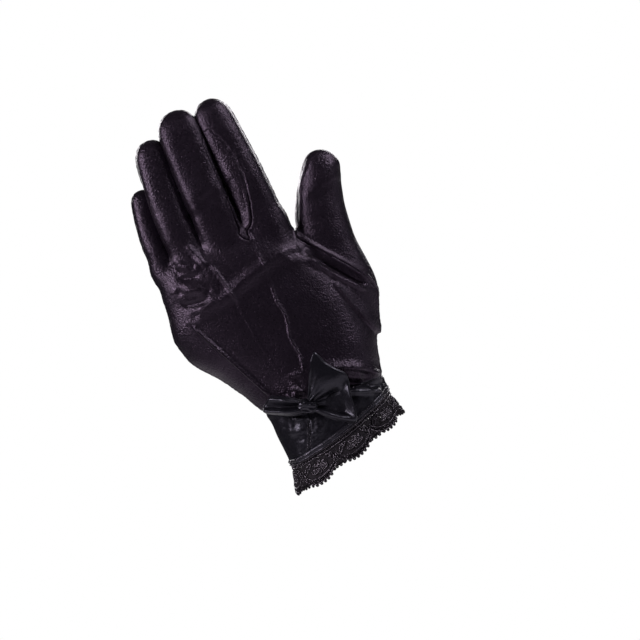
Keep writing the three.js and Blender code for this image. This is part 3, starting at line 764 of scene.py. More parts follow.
def near_detail(points):
    """True where the cloth has fine relief: tucks, puckers, seams and the cuff."""
    fine = above_elastic(points) < FINE["elastic"]
    on_back = points[:, 1] < FINE["back"]
    for kind, _, left, right, path in FOLDS:
        if kind == "crisp":
            reach = np.abs(path_reach(points, smooth_path(path, 3.0)))
            wide = max(left, right, 1.0) * FINE["fold_share"] + FINE["fold_margin"]
            fine |= on_back & (reach < min(wide, FINE["fold"]))
    fine |= np.abs(thumb_side(points)) < FINE["thumb"]
    for strip in STRIPS.values():
        fine |= np.abs(strip_side(points, strip)) < FINE["strip"]
    beside_seam = np.abs(points[:, 1] - side_seam(points)) < FINE["side"]
    return fine | (beside_seam & (above_elastic(points) > 0.0))


def bmesh_points(work):
    return np.array([v.co[:] for v in work.verts]) / MM


def refine(work):
    """Halves the faces where fine relief will come."""
    points = bmesh_points(work)
    fine = near_detail(points)
    work.verts.index_update()
    edges = [edge for edge in work.edges if fine[edge.verts[0].index] and fine[edge.verts[1].index]]
    bmesh.ops.subdivide_edges(work, edges=edges, cuts=1, use_grid_fill=True)


def cut_along(work, values):
    """Splits the faces along the line where the values at the vertices pass zero."""
    work.verts.index_update()
    line = set()
    for edge in list(work.edges):
        start, end = edge.verts
        a, b = values[start.index], values[end.index]
        if a * b < 0.0:
            share = min(max(a / (a - b), CUT_MARGIN), 1.0 - CUT_MARGIN)
            line.add(bmesh.utils.edge_split(edge, start, share)[1])
    for face in {face for vertex in line for face in vertex.link_faces}:
        ends = [vertex for vertex in face.verts if vertex in line]
        if len(ends) == 2:
            bmesh.utils.face_split(face, ends[0], ends[1])


def fingers_together(points):
    """Brings the fingers that stood aside back beside each other."""
    z = points[:, 2]
    distance = [finger_reach(points, finger, aside(finger, z)) for finger in FINGERS.values()]
    nearest = np.argmin(distance, axis=0)
    on_thumb = thumb_side(points) > 0.0
    for row, finger in enumerate(FINGERS.values()):
        chosen = (nearest == row) & ~on_thumb
        points[chosen, 0] -= aside(finger, z[chosen])
    return points


def fold_relief(points, on_back, on_palm):
    """Height of the folds and creases."""
    height = np.zeros(len(points))
    for kind, rise, left, right, places in FOLDS:
        on_side = on_palm if kind == "palm" else on_back
        path = smooth_path(places, PATH_STEP)
        near = np.abs(path_reach(points, path[::4])) < FOLD_REACH
        signed = path_reach(points[near], path)
        width = np.where(signed > 0.0, left, right)
        shape = np.exp(-(signed / width) ** 2) * path_fade(points[near], path)
        height[near] += rise * shape * on_side[near]
    return height


def wrist_relief(points):
    """Height of the shirring, and of the groove that the elastic pulls in."""
    rise = above_elastic(points)
    turn = np.arctan2(points[:, 1] - WRIST_AXIS[1], points[:, 0] - WRIST_AXIS[0])
    wander = uneven(points, *WANDER)
    waves = sum(share * np.cos(count * turn + sway * wander) for count, sway, share in SHIRR_WAVES)
    fade = np.exp(-(rise / np.where(rise > 0.0, SHIRR_UP, SHIRR_DOWN)) ** 2)
    return SHIRR_DEPTH * waves * fade - ELASTIC_DEPTH * np.exp(-(rise / ELASTIC_WIDTH) ** 2)


def seam_relief(points, seam_reach):
    """Height of the sewn seams: a groove with a puckered puff on both sides."""
    groove = sizes().seam_depth / MM * np.exp(-(seam_reach / GROOVE_WIDTH) ** 2)
    puff = sizes().seam_puff / MM * np.exp(-((seam_reach - PUFF_PLACE) / PUFF_WIDTH) ** 2)
    pucker = 1.0 + uneven(points, *PUCKER)
    strength = smoothstep(*SEAM_BEGINS, above_elastic(points))
    outward = np.abs(strip_side(points, STRIPS["fourchette_index_middle"])) < STRIP_FADE_REACH
    faded = 1.0 - STRIP_FADE * smoothstep(*STRIP_FADE_HEIGHTS, points[:, 2])
    return (puff * pucker - groove) * strength * np.where(outward, faded, 1.0)


def relief(points, normals, seam_reach):
    """Height of the folds, seams, shirring and crumples at each point of the skin."""
    on_back = smoothstep(-SIDE_SLOPE, SIDE_SLOPE, -normals[:, 1])
    on_palm = smoothstep(-SIDE_SLOPE, SIDE_SLOPE, normals[:, 1])
    crumple = sum(uneven(points, *wave) for wave in CRUMPLES) * sizes().crumple / MM
    cuff_reach = path_reach(points, smooth_path(CUFF_SEAM, PATH_STEP))
    cuff_seam = CUFF_SEAM_DEPTH * np.exp(-(cuff_reach / CUFF_SEAM_WIDTH) ** 2) * on_back
    height = fold_relief(points, on_back, on_palm) + wrist_relief(points) + crumple
    return height + seam_relief(points, seam_reach) - cuff_seam


def seam_distance(work, points, owners):
    """Distance of each vertex from the nearest line where two pattern pieces of the hand meet."""
    seam = set()
    for edge in work.edges:
        if len(edge.link_faces) == 2:
            first, second = (owners[face.index] for face in edge.link_faces)
            if first != second and CUFF not in (first, second):
                seam.update(vertex.index for vertex in edge.verts)
    tree = kdtree.KDTree(len(seam))
    for index in seam:
        tree.insert(points[index], index)
    tree.balance()
    return np.array([tree.find(point)[2] for point in points])


def smoothed_skin():
    """The skin in one, smoothed most at the finger roots and the thumb's seam, its fingers together."""
    skin = skin_in_one()
    edges = mesh_edges(skin.data)
    points = relax(mesh_points(skin.data), edges, SKIN_ROUNDS)
    roots = smoothstep(*ROOTS_BELOW, points[:, 2]) * (1.0 - smoothstep(*ROOTS_ABOVE, points[:, 2]))
    bends = np.maximum(roots, np.exp(-(thumb_side(points) / THUMB_SEAM_BLEND) ** 2))[:, None]
    for _ in range(BEND_REPEATS):
        points = points + (relax(points, edges, BEND_ROUNDS) - points) * bends
    set_points(skin.data, fingers_together(points))
    return skin


def cut_skin(work):
    """Cuts the skin off at the hem and along every seam."""
    cut_along(work, above_hem(bmesh_points(work)))
    work.verts.index_update()
    below = above_hem(bmesh_points(work)) < HEM_TRIM
    bmesh.ops.delete(work, geom=[v for v in work.verts if below[v.index]], context="VERTS")
    cut_along(work, above_elastic(bmesh_points(work)))
    cut_along(work, thumb_side(bmesh_points(work)))
    for strip in STRIPS.values():
        cut_along(work, strip_side(bmesh_points(work), strip))
    points = bmesh_points(work)
    cut_along(work, points[:, 1] - side_seam(points))
    work.faces.index_update()
    work.verts.index_update()
    work.normal_update()


def panel_mesh(work, name, strangers):
    """One pattern piece of the cut skin: all but the faces that are strangers to it."""
    panel = work.copy()
    panel.faces.ensure_lookup_table()
    others = [face for face in panel.faces if strangers[face.index]]
    bmesh.ops.delete(panel, geom=others, context="FACES")
    mesh = bpy.data.meshes.new(name)
    panel.to_mesh(mesh)
    panel.free()
    return mesh


def pattern_pieces():
    """The skin cut along its seams, with its relief, as one mesh for each pattern piece."""
    skin = smoothed_skin()
    work = bmesh.new()
    work.from_mesh(skin.data)
    bpy.data.objects.remove(skin)
    refine(work)
    cut_skin(work)
    points = bmesh_points(work)
    normals = np.array([v.normal[:] for v in work.verts])
    owners = panel_of(np.array([face.calc_center_median()[:] for face in work.faces]) / MM)
    height = relief(points, normals, seam_distance(work, points, owners))
    moved = (points + normals * height[:, None]) * MM
    for vertex, place in zip(work.verts, moved):
        vertex.co = place
    meshes = {name: panel_mesh(work, name, owners != number) for number, name in enumerate(PANELS)}
    work.free()
    return meshes


class GLOVE_OT_panels(bpy.types.Operator):
    """Cut and shape the satin pieces of the hand, the thumb, the finger strips and the cuff"""

    bl_idname = "glove.panels"
    bl_label = "Satin pieces"

    def execute(self, context):
        satin = satin_material()
        ribbon = ribbon_material()
        for name, mesh in pattern_pieces().items():
            piece = new_piece("satin_" + name, mesh, ribbon if name == "cuff" else satin)
            wall(piece, sizes().cloth)
            finish_piece(piece, "satin", name)
        return {"FINISHED"}


# Materials

# Finishes of the cloths: how much lighter the tone drifts, least and most roughness, strength of the
# relief, size of the crinkle and pitch of the weave in metres, then sheen and its roughness, specular
# level and the tint of the gleam
FINISHES = {
    "stretch satin": dict(drift=1.5, rough=(0.26, 0.38), bump=0.8, crinkle=0.0010, weave=0.0004,
                          sheen=0.05, sheen_rough=0.4, specular=0.5, gleam=(0.92, 0.70, 1.0, 1.0)),
    "ribbon satin": dict(drift=1.4, rough=(0.30, 0.40), bump=0.4, crinkle=0.0012, weave=0.0004,
                         sheen=0.02, sheen_rough=0.4, specular=0.55, gleam=(0.84, 0.80, 1.0, 1.0)),
    "lace thread": dict(drift=1.9, rough=(0.17, 0.30), bump=0.6, crinkle=0.0005, weave=0.00025,
                        sheen=0.04, sheen_rough=0.5, specular=1.0, gleam=(0.95, 0.84, 1.0, 1.0)),
    "lace ground": dict(drift=1.6, rough=(0.50, 0.70), bump=1.0, crinkle=0.0006, weave=0.00025,
                        sheen=0.03, sheen_rough=0.5, specular=0.35, gleam=(0.95, 0.84, 1.0, 1.0)),
    "studio paper": dict(drift=1.02, rough=(0.85, 0.95), bump=0.05, crinkle=0.004, weave=0.0004,
                         sheen=0.0, sheen_rough=0.5, specular=0.5, gleam=(1.0, 1.0, 1.0, 1.0)),
}
# Height in metres that a relief of 1 stands for
RELIEF_HEIGHT = 0.0005
# Scale of a wave texture for each thread in a metre, and of the slow mottling
WAVE_SCALE = 0.314
MOTTLE_SCALE = 55.0
# Shares of the mottling between which the tone drifts, and of the crinkle between which gloss is broken
DRIFT_BETWEEN = (0.32, 0.72)
BROKEN_BETWEEN = (0.3, 0.7)
# The lace's ground is darker than its cords by this share, and the floor's glow to the camera
GROUND_TONE = 0.5
FLOOR_GLOW = 0.8


def group_socket(tree, name, way, kind, default=None):
    socket = tree.interface.new_socket(name, in_out=way, socket_type=kind)
    if default is not None:
        socket.default_value = default
    return socket


def link(tree, start, output, end, slot):
    """Joins an output of one node to an input of another."""
    tree.links.new(start.outputs[output], end.inputs[slot])


def math_node(tree, operation, slot=None, value=0.0):
    """A math node, one of its slots set to a value."""
    node = tree.nodes.new("ShaderNodeMath")
    node.operation = operation
    if slot is not None:
        node.inputs[slot].default_value = value
    return node


def weave_group():
    """Shared cloth effect: weave and crinkle as height, slow mottling and the crinkle as masks."""
    if "satin weave" in bpy.data.node_groups:
        return bpy.data.node_groups["satin weave"]
    tree = bpy.data.node_groups.new("satin weave", "ShaderNodeTree")
    group_socket(tree, "Weave pitch", "INPUT", "NodeSocketFloat", 0.0004)
    group_socket(tree, "Weave height", "INPUT", "NodeSocketFloat", 0.06)
    group_socket(tree, "Crinkle size", "INPUT", "NodeSocketFloat", 0.0016)
    for name in ("Height", "Mottle", "Speckle"):
        group_socket(tree, name, "OUTPUT", "NodeSocketFloat")
    nodes = tree.nodes
    enter = nodes.new("NodeGroupInput")
    leave = nodes.new("NodeGroupOutput")
    place = nodes.new("ShaderNodeTexCoord").outputs["Object"]

    def per_metre(name):
        divide = math_node(tree, "DIVIDE", 0, 1.0)
        link(tree, enter, name, divide, 1)
        return divide.outputs[0]

    def texture(kind, **settings):
        node = nodes.new(kind)
        tree.links.new(place, node.inputs["Vector"])
        for name, value in settings.items():
            node.inputs[name].default_value = value
        return node

    warp = texture("ShaderNodeTexWave", Distortion=1.5, Detail=1.0)
    warp.bands_direction = "DIAGONAL"
    threads = math_node(tree, "MULTIPLY", 1, WAVE_SCALE)
    tree.links.new(per_metre("Weave pitch"), threads.inputs[0])
    link(tree, threads, 0, warp, "Scale")
    crinkle = texture("ShaderNodeTexNoise", Detail=3.0)
    tree.links.new(per_metre("Crinkle size"), crinkle.inputs["Scale"])
    mottle = texture("ShaderNodeTexNoise", Scale=MOTTLE_SCALE, Detail=2.0)
    height = math_node(tree, "MULTIPLY_ADD")
    link(tree, warp, "Fac", height, 0)
    link(tree, enter, "Weave height", height, 1)
    link(tree, crinkle, "Fac", height, 2)
    link(tree, height, 0, leave, "Height")
    link(tree, mottle, "Fac", leave, "Mottle")
    link(tree, crinkle, "Fac", leave, "Speckle")
    return tree


def lighter(colour, factor):
    return tuple(channel * factor for channel in colour[:3]) + (1.0,)


def cloth_material(name, colour, tint=(1.0, 1.0, 1.0, 1.0)):
    """A woven cloth: its colour drifts towards a lighter one and its gloss is broken by the weave."""
    if name in bpy.data.materials:
        return bpy.data.materials[name]
    finish = FINISHES[name]
    material = bpy.data.materials.new(name)
    material.use_nodes = True
    tree = material.node_tree
    nodes = tree.nodes
    shader = nodes["Principled BSDF"]
    cloth = nodes.new("ShaderNodeGroup")
    cloth.node_tree = weave_group()
    cloth.inputs["Weave pitch"].default_value = finish["weave"]
    cloth.inputs["Crinkle size"].default_value = finish["crinkle"]
    tone = nodes.new("ShaderNodeValToRGB")
    tones = (tuple(colour), lighter(colour, finish["drift"]))
    for stop, place, shade in zip(tone.color_ramp.elements, DRIFT_BETWEEN, tones):
        stop.position = place
        stop.color = shade
    link(tree, cloth, "Mottle", tone, "Fac")
    link(tree, tone, "Color", shader, "Base Color")
    gloss = nodes.new("ShaderNodeMapRange")
    gloss.inputs["From Min"].default_value, gloss.inputs["From Max"].default_value = BROKEN_BETWEEN
    gloss.inputs["To Min"].default_value, gloss.inputs["To Max"].default_value = finish["rough"]
    link(tree, cloth, "Speckle", gloss, "Value")
    link(tree, gloss, "Result", shader, "Roughness")
    weave = nodes.new("ShaderNodeBump")
    weave.inputs["Strength"].default_value = finish["bump"]
    weave.inputs["Distance"].default_value = RELIEF_HEIGHT
    link(tree, cloth, "Height", weave, "Height")
    link(tree, weave, "Normal", shader, "Normal")
    shader.inputs["Specular IOR Level"].default_value = finish["specular"]
    shader.inputs["Specular Tint"].default_value = finish["gleam"]
    shader.inputs["Sheen Weight"].default_value = finish["sheen"]
    shader.inputs["Sheen Roughness"].default_value = finish["sheen_rough"]
    shader.inputs["Sheen Tint"].default_value = tuple(tint)
    return material


def satin_material():
    return cloth_material("stretch satin", colours().satin, colours().satin_sheen)


def ribbon_material():
    return cloth_material("ribbon satin", colours().ribbon, (0.5, 0.5, 0.58, 1.0))


def thread_material():
    return cloth_material("lace thread", colours().lace, (0.6, 0.56, 0.62, 1.0))


def lace_ground_material():
    return cloth_material("lace ground", lighter(colours().lace, GROUND_TONE), (0.5, 0.46, 0.5, 1.0))


def floor_material():
    """Pale paper that the camera sees evenly lit; it throws no light of its own on the glove."""
    material = cloth_material("studio paper", colours().floor)
    tree = material.node_tree
    shader = tree.nodes["Principled BSDF"]
    shader.inputs["Emission Color"].default_value = tuple(colours().floor)
    seen = tree.nodes.new("ShaderNodeLightPath")
    glow = math_node(tree, "MULTIPLY", 1, FLOOR_GLOW)
    link(tree, seen, "Is Camera Ray", glow, 0)
    link(tree, glow, 0, shader, "Emission Strength")
    return material


# Rings round the wrist: hem, lace

# Left and right side, back and palm side of the hem and of the lace's lower edge
HEM_SECTION = (-30.4, 34.9, -21.3, 22.9)
LACE_SECTION = (-34.6, 36.4, -22.9, 24.4)
# Section of the hem band, outside and inside: share of its height and distance out
HEM_ROWS = [(-0.1, 0.1), (0.0, 0.5), (0.12, 0.8), (0.35, 0.95), (0.55, 0.7), (0.66, 0.5), (0.76, 0.72),
            (0.9, 0.8), (1.0, 0.5), (1.06, 0.1), (1.05, -1.5), (-0.1, -1.5)]
HEM_STEPS = 420
RING_STEPS = 1440
# Lace: scallops round the wrist, how far it hangs between and at them, their width, the place of the
# valley below the bow, and how far below the hem line it starts and flares
SCALLOPS = 8
LACE_VALLEY = 8.4
LACE_PEAK = 14.9
SCALLOP_WIDTH = 22.6
VALLEY_X = -3.9
LACE_TOP = 3.0
FLARE_FROM = 2.0
# Waves round the wrist in the flared lace and in the whole ring: height, count and start
FLUTTER = [(0.8, 3.0, 1.0), (0.55, SCALLOPS, 0.8)]
RING_WAVES = [(0.35, 7.0, 0.4), (0.2, 19.0, 0.0)]


def ring_turns():
    """Angles round the wrist at even steps of its length, from the lace's valley below the bow."""
    turn = np.linspace(0.0, 2.0 * math.pi, RING_STEPS + 1)
    x, y = section_point(turn, *HEM_SECTION)
    length = np.concatenate([[0.0], np.cumsum(np.hypot(np.diff(x), np.diff(y)))])
    on_back = np.flatnonzero(y < 0.0)
    start = on_back[np.argmin(np.abs(x[on_back] - VALLEY_X))]
    share = (length - length[start]) / length[-1]
    shares = np.concatenate([share - 1.0, share[1:], share[1:] + 1.0])
    turns = np.concatenate([turn - 2.0 * math.pi, turn[1:], turn[1:] + 2.0 * math.pi])
    return shares, turns


def ring_point(share, down, proud=0.0):
    """A place on the wrist's ring: share of the way round, drop below the hem line, distance out."""
    turn = np.interp(np.mod(share, 1.0), *RING)
    flare = smoothstep(FLARE_FROM, LACE_TOP + LACE_PEAK, down)
    section = [hem + (lace - hem) * flare for hem, lace in zip(HEM_SECTION, LACE_SECTION)]
    out = proud + flare * ripple(turn, FLUTTER) + ripple(turn, RING_WAVES)
    x, y = section_point(turn, *section, out)
    return np.stack([x, y, hem_line(x, y) - down], axis=-1)


RING = ring_turns()


class GLOVE_OT_hem(bpy.types.Operator):
    """Fold the hem band up over the cuff's lower edge"""

    bl_idname = "glove.hem"
    bl_label = "Hem band"

    def execute(self, context):
        share = np.linspace(0.0, 1.0, HEM_STEPS, endpoint=False)
        deep = sizes().hem_height / MM
        rows = [ring_point(share, down * deep, proud) for down, proud in HEM_ROWS]
        mesh = new_mesh("hem", np.concatenate(rows), grid_faces(len(rows), HEM_STEPS, over=True))
        piece = new_piece("satin_hem_band", fix_outward(mesh), ribbon_material())
        piece.data.shade_smooth()
        finish_piece(piece, "satin", "hem_band")
        return {"FINISHED"}


# Geometry Nodes for thread, stitches and picots

def node_tree(name, sockets):
    """A geometry tree with named inputs, its group input and output nodes."""
    tree = bpy.data.node_groups.new(name, "GeometryNodeTree")
    tree.interface.new_socket("Path", in_out="INPUT", socket_type="NodeSocketGeometry")
    for label, kind, default in sockets:
        group_socket(tree, label, "INPUT", kind, default)
    tree.interface.new_socket("Thread", in_out="OUTPUT", socket_type="NodeSocketGeometry")
    return tree, tree.nodes.new("NodeGroupInput"), tree.nodes.new("NodeGroupOutput")


def close_tree(tree, enter, leave, geometry):
    """Ends a tree in realized instances and a material."""
    realize = tree.nodes.new("GeometryNodeRealizeInstances")
    smooth = tree.nodes.new("GeometryNodeSetShadeSmooth")
    material = tree.nodes.new("GeometryNodeSetMaterial")
    tree.links.new(geometry, realize.inputs["Geometry"])
    link(tree, realize, "Geometry", smooth, "Geometry")
    link(tree, smooth, "Geometry", material, "Geometry")
    link(tree, enter, "Material", material, "Material")
    link(tree, material, "Geometry", leave, "Thread")
    return tree


def thread_tree():
    """Thread: a round tube along every path."""
    if "thread along a path" in bpy.data.node_groups:
        return bpy.data.node_groups["thread along a path"]
    tree, enter, leave = node_tree("thread along a path", [
        ("Radius", "NodeSocketFloat", 0.0002), ("Sides", "NodeSocketInt", 5),
        ("Material", "NodeSocketMaterial", None)])
    nodes = tree.nodes
    curve = nodes.new("GeometryNodeMeshToCurve")
    profile = nodes.new("GeometryNodeCurvePrimitiveCircle")
    sweep = nodes.new("GeometryNodeCurveToMesh")
    sweep.inputs["Fill Caps"].default_value = True
    link(tree, enter, "Path", curve, "Mesh")
    link(tree, enter, "Sides", profile, "Resolution")
    link(tree, enter, "Radius", profile, "Radius")
    link(tree, curve, "Curve", sweep, "Curve")
    link(tree, profile, "Curve", sweep, "Profile Curve")
    return close_tree(tree, enter, leave, sweep.outputs["Mesh"])


def stitch_tree():
    """Stitches: a short rounded stitch at every pitch along a path."""
    if "stitches along a seam" in bpy.data.node_groups:
        return bpy.data.node_groups["stitches along a seam"]
    tree, enter, leave = node_tree("stitches along a seam", [
        ("Pitch", "NodeSocketFloat", 0.002), ("Length", "NodeSocketFloat", 0.0015),
        ("Radius", "NodeSocketFloat", 0.0002), ("Material", "NodeSocketMaterial", None)])
    nodes = tree.nodes
    curve = nodes.new("GeometryNodeMeshToCurve")
    points = nodes.new("GeometryNodeCurveToPoints")
    points.mode = "LENGTH"
    grain = nodes.new("GeometryNodeMeshUVSphere")
    grain.inputs["Segments"].default_value = 6
    grain.inputs["Rings"].default_value = 6
    grain.inputs["Radius"].default_value = 1.0
    half = math_node(tree, "MULTIPLY", 1, 0.5)
    scale = nodes.new("ShaderNodeCombineXYZ")
    instances = nodes.new("GeometryNodeInstanceOnPoints")
    link(tree, enter, "Path", curve, "Mesh")
    link(tree, curve, "Curve", points, "Curve")
    link(tree, enter, "Pitch", points, "Length")
    link(tree, enter, "Length", half, 0)
    link(tree, enter, "Radius", scale, "X")
    link(tree, enter, "Radius", scale, "Y")
    link(tree, half, 0, scale, "Z")
    link(tree, points, "Points", instances, "Points")
    link(tree, points, "Rotation", instances, "Rotation")
    link(tree, grain, "Mesh", instances, "Instance")
    link(tree, scale, "Vector", instances, "Scale")
    return close_tree(tree, enter, leave, instances.outputs["Instances"])


def picot_tree():
    """Picots: a small loop of thread at every pitch, standing in the plane of the lace."""
    if "picots along an edge" in bpy.data.node_groups:
        return bpy.data.node_groups["picots along an edge"]
    tree, enter, leave = node_tree("picots along an edge", [
        ("Loop", "NodeSocketFloat", 0.0007), ("Radius", "NodeSocketFloat", 0.0002),
        ("Material", "NodeSocketMaterial", None)])
    nodes = tree.nodes
    points = nodes.new("GeometryNodeMeshToPoints")
    ring = nodes.new("GeometryNodeCurvePrimitiveCircle")
    ring.inputs["Resolution"].default_value = 10
    profile = nodes.new("GeometryNodeCurvePrimitiveCircle")
    profile.inputs["Resolution"].default_value = 5
    sweep = nodes.new("GeometryNodeCurveToMesh")
    facing = nodes.new("GeometryNodeInputNamedAttribute")
    facing.data_type = "FLOAT_VECTOR"
    facing.inputs["Name"].default_value = "facing"
    turn = nodes.new("FunctionNodeAlignRotationToVector")
    turn.axis = "Z"
    instances = nodes.new("GeometryNodeInstanceOnPoints")
    link(tree, enter, "Path", points, "Mesh")
    link(tree, enter, "Loop", ring, "Radius")
    link(tree, enter, "Radius", profile, "Radius")
    link(tree, ring, "Curve", sweep, "Curve")
    link(tree, profile, "Curve", sweep, "Profile Curve")
    link(tree, facing, "Attribute", turn, "Vector")
    link(tree, points, "Points", instances, "Points")
    link(tree, sweep, "Mesh", instances, "Instance")
    link(tree, turn, "Rotation", instances, "Rotation")
    return close_tree(tree, enter, leave, instances.outputs["Instances"])


def grown(piece, tree, **inputs):
    """Runs a geometry tree on a piece with its named inputs and keeps the plain mesh."""
    modifier = piece.modifiers.new("grow", "NODES")
    modifier.node_group = tree
    for socket in tree.interface.items_tree:
        label = socket.name.lower().replace(" ", "_")
        if socket.in_out == "INPUT" and label in inputs:
            modifier[socket.identifier] = inputs[label]
    return settle(piece)


def path_mesh(name, paths):
    """Open paths of millimetre points as one mesh of edges."""
    points, edges = [], []
    for path in paths:
        start = len(points)
        points.extend(np.asarray(path).tolist())
        edges.extend((start + i, start + i + 1) for i in range(len(path) - 1))
    return new_mesh(name, points, edges=edges)


def joined(name, parts, *materials):
    """Joins the meshes of several pieces into one piece; their faces name the material by its place."""
    work = bmesh.new()
    for part in parts:
        work.from_mesh(part.data)
        mesh = part.data
        bpy.data.objects.remove(part)
        bpy.data.meshes.remove(mesh)
    mesh = bpy.data.meshes.new(name)
    work.to_mesh(mesh)
    work.free()
    piece = new_piece(name, mesh)
    for material in materials:
        mesh.materials.append(material)
    mesh.shade_smooth()
    return piece


# Lace

# How full a scallop's edge is; less is fuller
SCALLOP_POWER = 0.62
# Cords of the footing, and of the edge above the lace's lower line; how far the edge stands proud
FOOTING = (0.3, 2.1)
EDGE_BAND = (0.7, 3.1)
EDGE_PROUD = 0.1
CORD_STEPS = 40
# Fill of footing and edge: pitch of the rungs and their lean, and pitch of the zigzag
RUNG_PITCH = 1.25
RUNG_LEAN = 0.3
ZIGZAG_PITCH = 1.1
# Petals of a scallop: their number, the angle between two, distance from the flower's middle across and
# down, the drop of that middle, half width and half length, and the ovals that fill one
PETALS = 5
PETAL_ANGLE = 40.0
PETAL_ACROSS = 3.0
PETAL_DOWN = 2.7
FLOWER_DROP = 8.6
PETAL_SIZE = (0.95, 1.9)
PETAL_FILLS = (0.62, 0.3)
# Leaves beside the flower and buds between the scallops: place across, drop, half width and length, lean
BUD_ACROSS = SCALLOP_WIDTH / 2 - 3.1
LEAVES = [(-6.4, 4.4, 0.8, 1.4, 0.9), (6.4, 4.4, 0.8, 1.4, -0.9),
          (-BUD_ACROSS, 5.6, 0.9, 2.1, 0.5), (BUD_ACROSS, 5.6, 0.9, 2.1, -0.5)]
FLOWER_HEART = (0.0, 9.2, 0.9, 0.8, 0.0)
OVAL_STEPS = 16
FILL_STEPS = 8
FILL_THREAD = 1.3
# Ground: steps round a scallop and down it, how far it lies in, and its waves round and down
GROUND_STEPS = 54
GROUND_ROWS = 34
GROUND_IN = 0.4
GROUND_WAVE = (0.12, 31.0, 9.0)
# Meshes of the ground: their three ways, how open they are, how patchy, and how far they keep from
# petals, the lower edge and the footing
NET_WAYS = np.radians((90.0, 30.0, -30.0))
NET_OPEN = 1.5
NET_PATCHY = (3.1, 2.2, 1.3)
NET_CLEAR = dict(petal=1.1, edge=5.4, footing=2.4)
# Picots: number on a scallop, radius of the loop, and thickness of its thread as a share of the cord's
PICOTS_PER_SCALLOP = 10
PICOT_IN = 0.05
PICOT_LOOP = 0.5
PICOT_THREAD = 1.15


def lace_depth(place):
    """How far the lace hangs below the hem at a place counted in scallops."""
    return LACE_VALLEY + (LACE_PEAK - LACE_VALLEY) * np.abs(np.sin(math.pi * place)) ** SCALLOP_POWER


def lace_path(place, down, proud=0.0):
    """A path in the lace: place counted in scallops, drop below its upper edge, distance out."""
    down = np.asarray(down, dtype=float)
    return ring_point(np.asarray(place, dtype=float) / SCALLOPS, LACE_TOP + down, proud)


def petals():
    """Petals of a scallop: place across, drop, half width, half length and lean."""
    leans = [math.radians((petal - PETALS // 2) * PETAL_ANGLE) for petal in range(PETALS)]
    return [(PETAL_ACROSS * math.sin(lean), FLOWER_DROP - PETAL_DOWN * math.cos(lean), *PETAL_SIZE, lean)
            for lean in leans]


def lace_oval(scallop, oval, size=1.0, steps=OVAL_STEPS):
    """A closed oval in a scallop, drawn at a share of its size."""
    across, down, half_wide, half_long, lean = oval
    turn = np.linspace(0.0, 2.0 * math.pi, steps + 1)
    wide, tall = half_wide * size * np.cos(turn), half_long * size * np.sin(turn)
    x = across + wide * math.cos(lean) - tall * math.sin(lean)
    z = down + wide * math.sin(lean) + tall * math.cos(lean)
    return lace_path(scallop + 0.5 + x / SCALLOP_WIDTH, z)


def lace_cords():
    """Outline cords: footing, scalloped edge, flower, leaves and buds of each scallop."""
    whole = np.linspace(0.0, SCALLOPS, SCALLOPS * CORD_STEPS + 1)
    cords = [lace_path(whole, np.full_like(whole, down)) for down in FOOTING]
    cords += [lace_path(whole, lace_depth(whole) - up, EDGE_PROUD) for up in EDGE_BAND]
    motif = petals() + LEAVES + [FLOWER_HEART]
    return cords + [lace_oval(scallop, oval) for scallop in range(SCALLOPS) for oval in motif]


def lace_fill():
    """Finer threads: ladder in the footing, zigzag in the edge, filling of the petals."""
    rungs = np.arange(0.0, SCALLOPS, RUNG_PITCH / SCALLOP_WIDTH)
    threads = [lace_path([place, place + RUNG_LEAN / SCALLOP_WIDTH], FOOTING) for place in rungs]
    zigzag = np.arange(0.0, SCALLOPS, ZIGZAG_PITCH / SCALLOP_WIDTH)
    up = np.where(np.arange(len(zigzag)) % 2 == 0, *EDGE_BAND)
    threads.append(lace_path(zigzag, lace_depth(zigzag) - up, EDGE_PROUD))
    threads += [lace_oval(scallop, petal, size, FILL_STEPS)
                for scallop in range(SCALLOPS) for petal in petals() for size in PETAL_FILLS]
    return threads


def petal_reach(across, down):
    """How far a place in a scallop is from its petals, leaves and buds; under 1 inside one."""
    reach = np.full(np.shape(across), np.inf)
    for x, z, wide, tall, lean in petals() + LEAVES:
        along = (across - x) * math.cos(lean) + (down - z) * math.sin(lean)
        over = -(across - x) * math.sin(lean) + (down - z) * math.cos(lean)
        reach = np.minimum(reach, np.hypot(along / wide, over / tall))
    return reach


def net_holes(points, place, down):
    """Which faces of the ground are left open as meshes of its net."""
    pitch = sizes().net_pitch / MM
    middle = (down[:-1] + down[1:]) / 2
    across = ((place + 0.5 / GROUND_STEPS) % 1.0 - 0.5) * SCALLOP_WIDTH
    net = sum(np.cos(2.0 * math.pi * (across * math.cos(way) + middle * math.sin(way)) / pitch)
              for way in NET_WAYS)
    patchy = uneven(points, *NET_PATCHY).reshape(down.shape)[:-1]
    clear = petal_reach(across, middle) > NET_CLEAR["petal"]
    clear &= lace_depth(place) - middle > NET_CLEAR["edge"]
    clear &= middle > NET_CLEAR["footing"]
    return clear & (net > NET_OPEN + patchy)


def lace_ground():
    """The worked ground of the lace: close threads with meshes left open round the petals."""
    columns = SCALLOPS * GROUND_STEPS
    place = np.arange(columns) / GROUND_STEPS
    share = np.linspace(0.0, 1.0, GROUND_ROWS + 1)[:, None]
    down = -0.1 + share * (lace_depth(place) - 0.1)
    high, round_count, down_count = GROUND_WAVE
    wave = high * np.sin(place * round_count) * np.sin(down_count * share)
    points = lace_path(np.broadcast_to(place, down.shape), down, wave - GROUND_IN).reshape(-1, 3)
    holes = net_holes(points, place, down).ravel()
    faces = [face for face, hole in zip(grid_faces(GROUND_ROWS + 1, columns), holes) if not hole]
    piece = new_piece("lace_ground", new_mesh("lace_ground", points, faces))
    settle(thickened(piece, 2.0 * sizes().lace_net))
    piece.data.polygons.foreach_set("material_index", np.ones(len(piece.data.polygons), dtype=np.int32))
    return piece


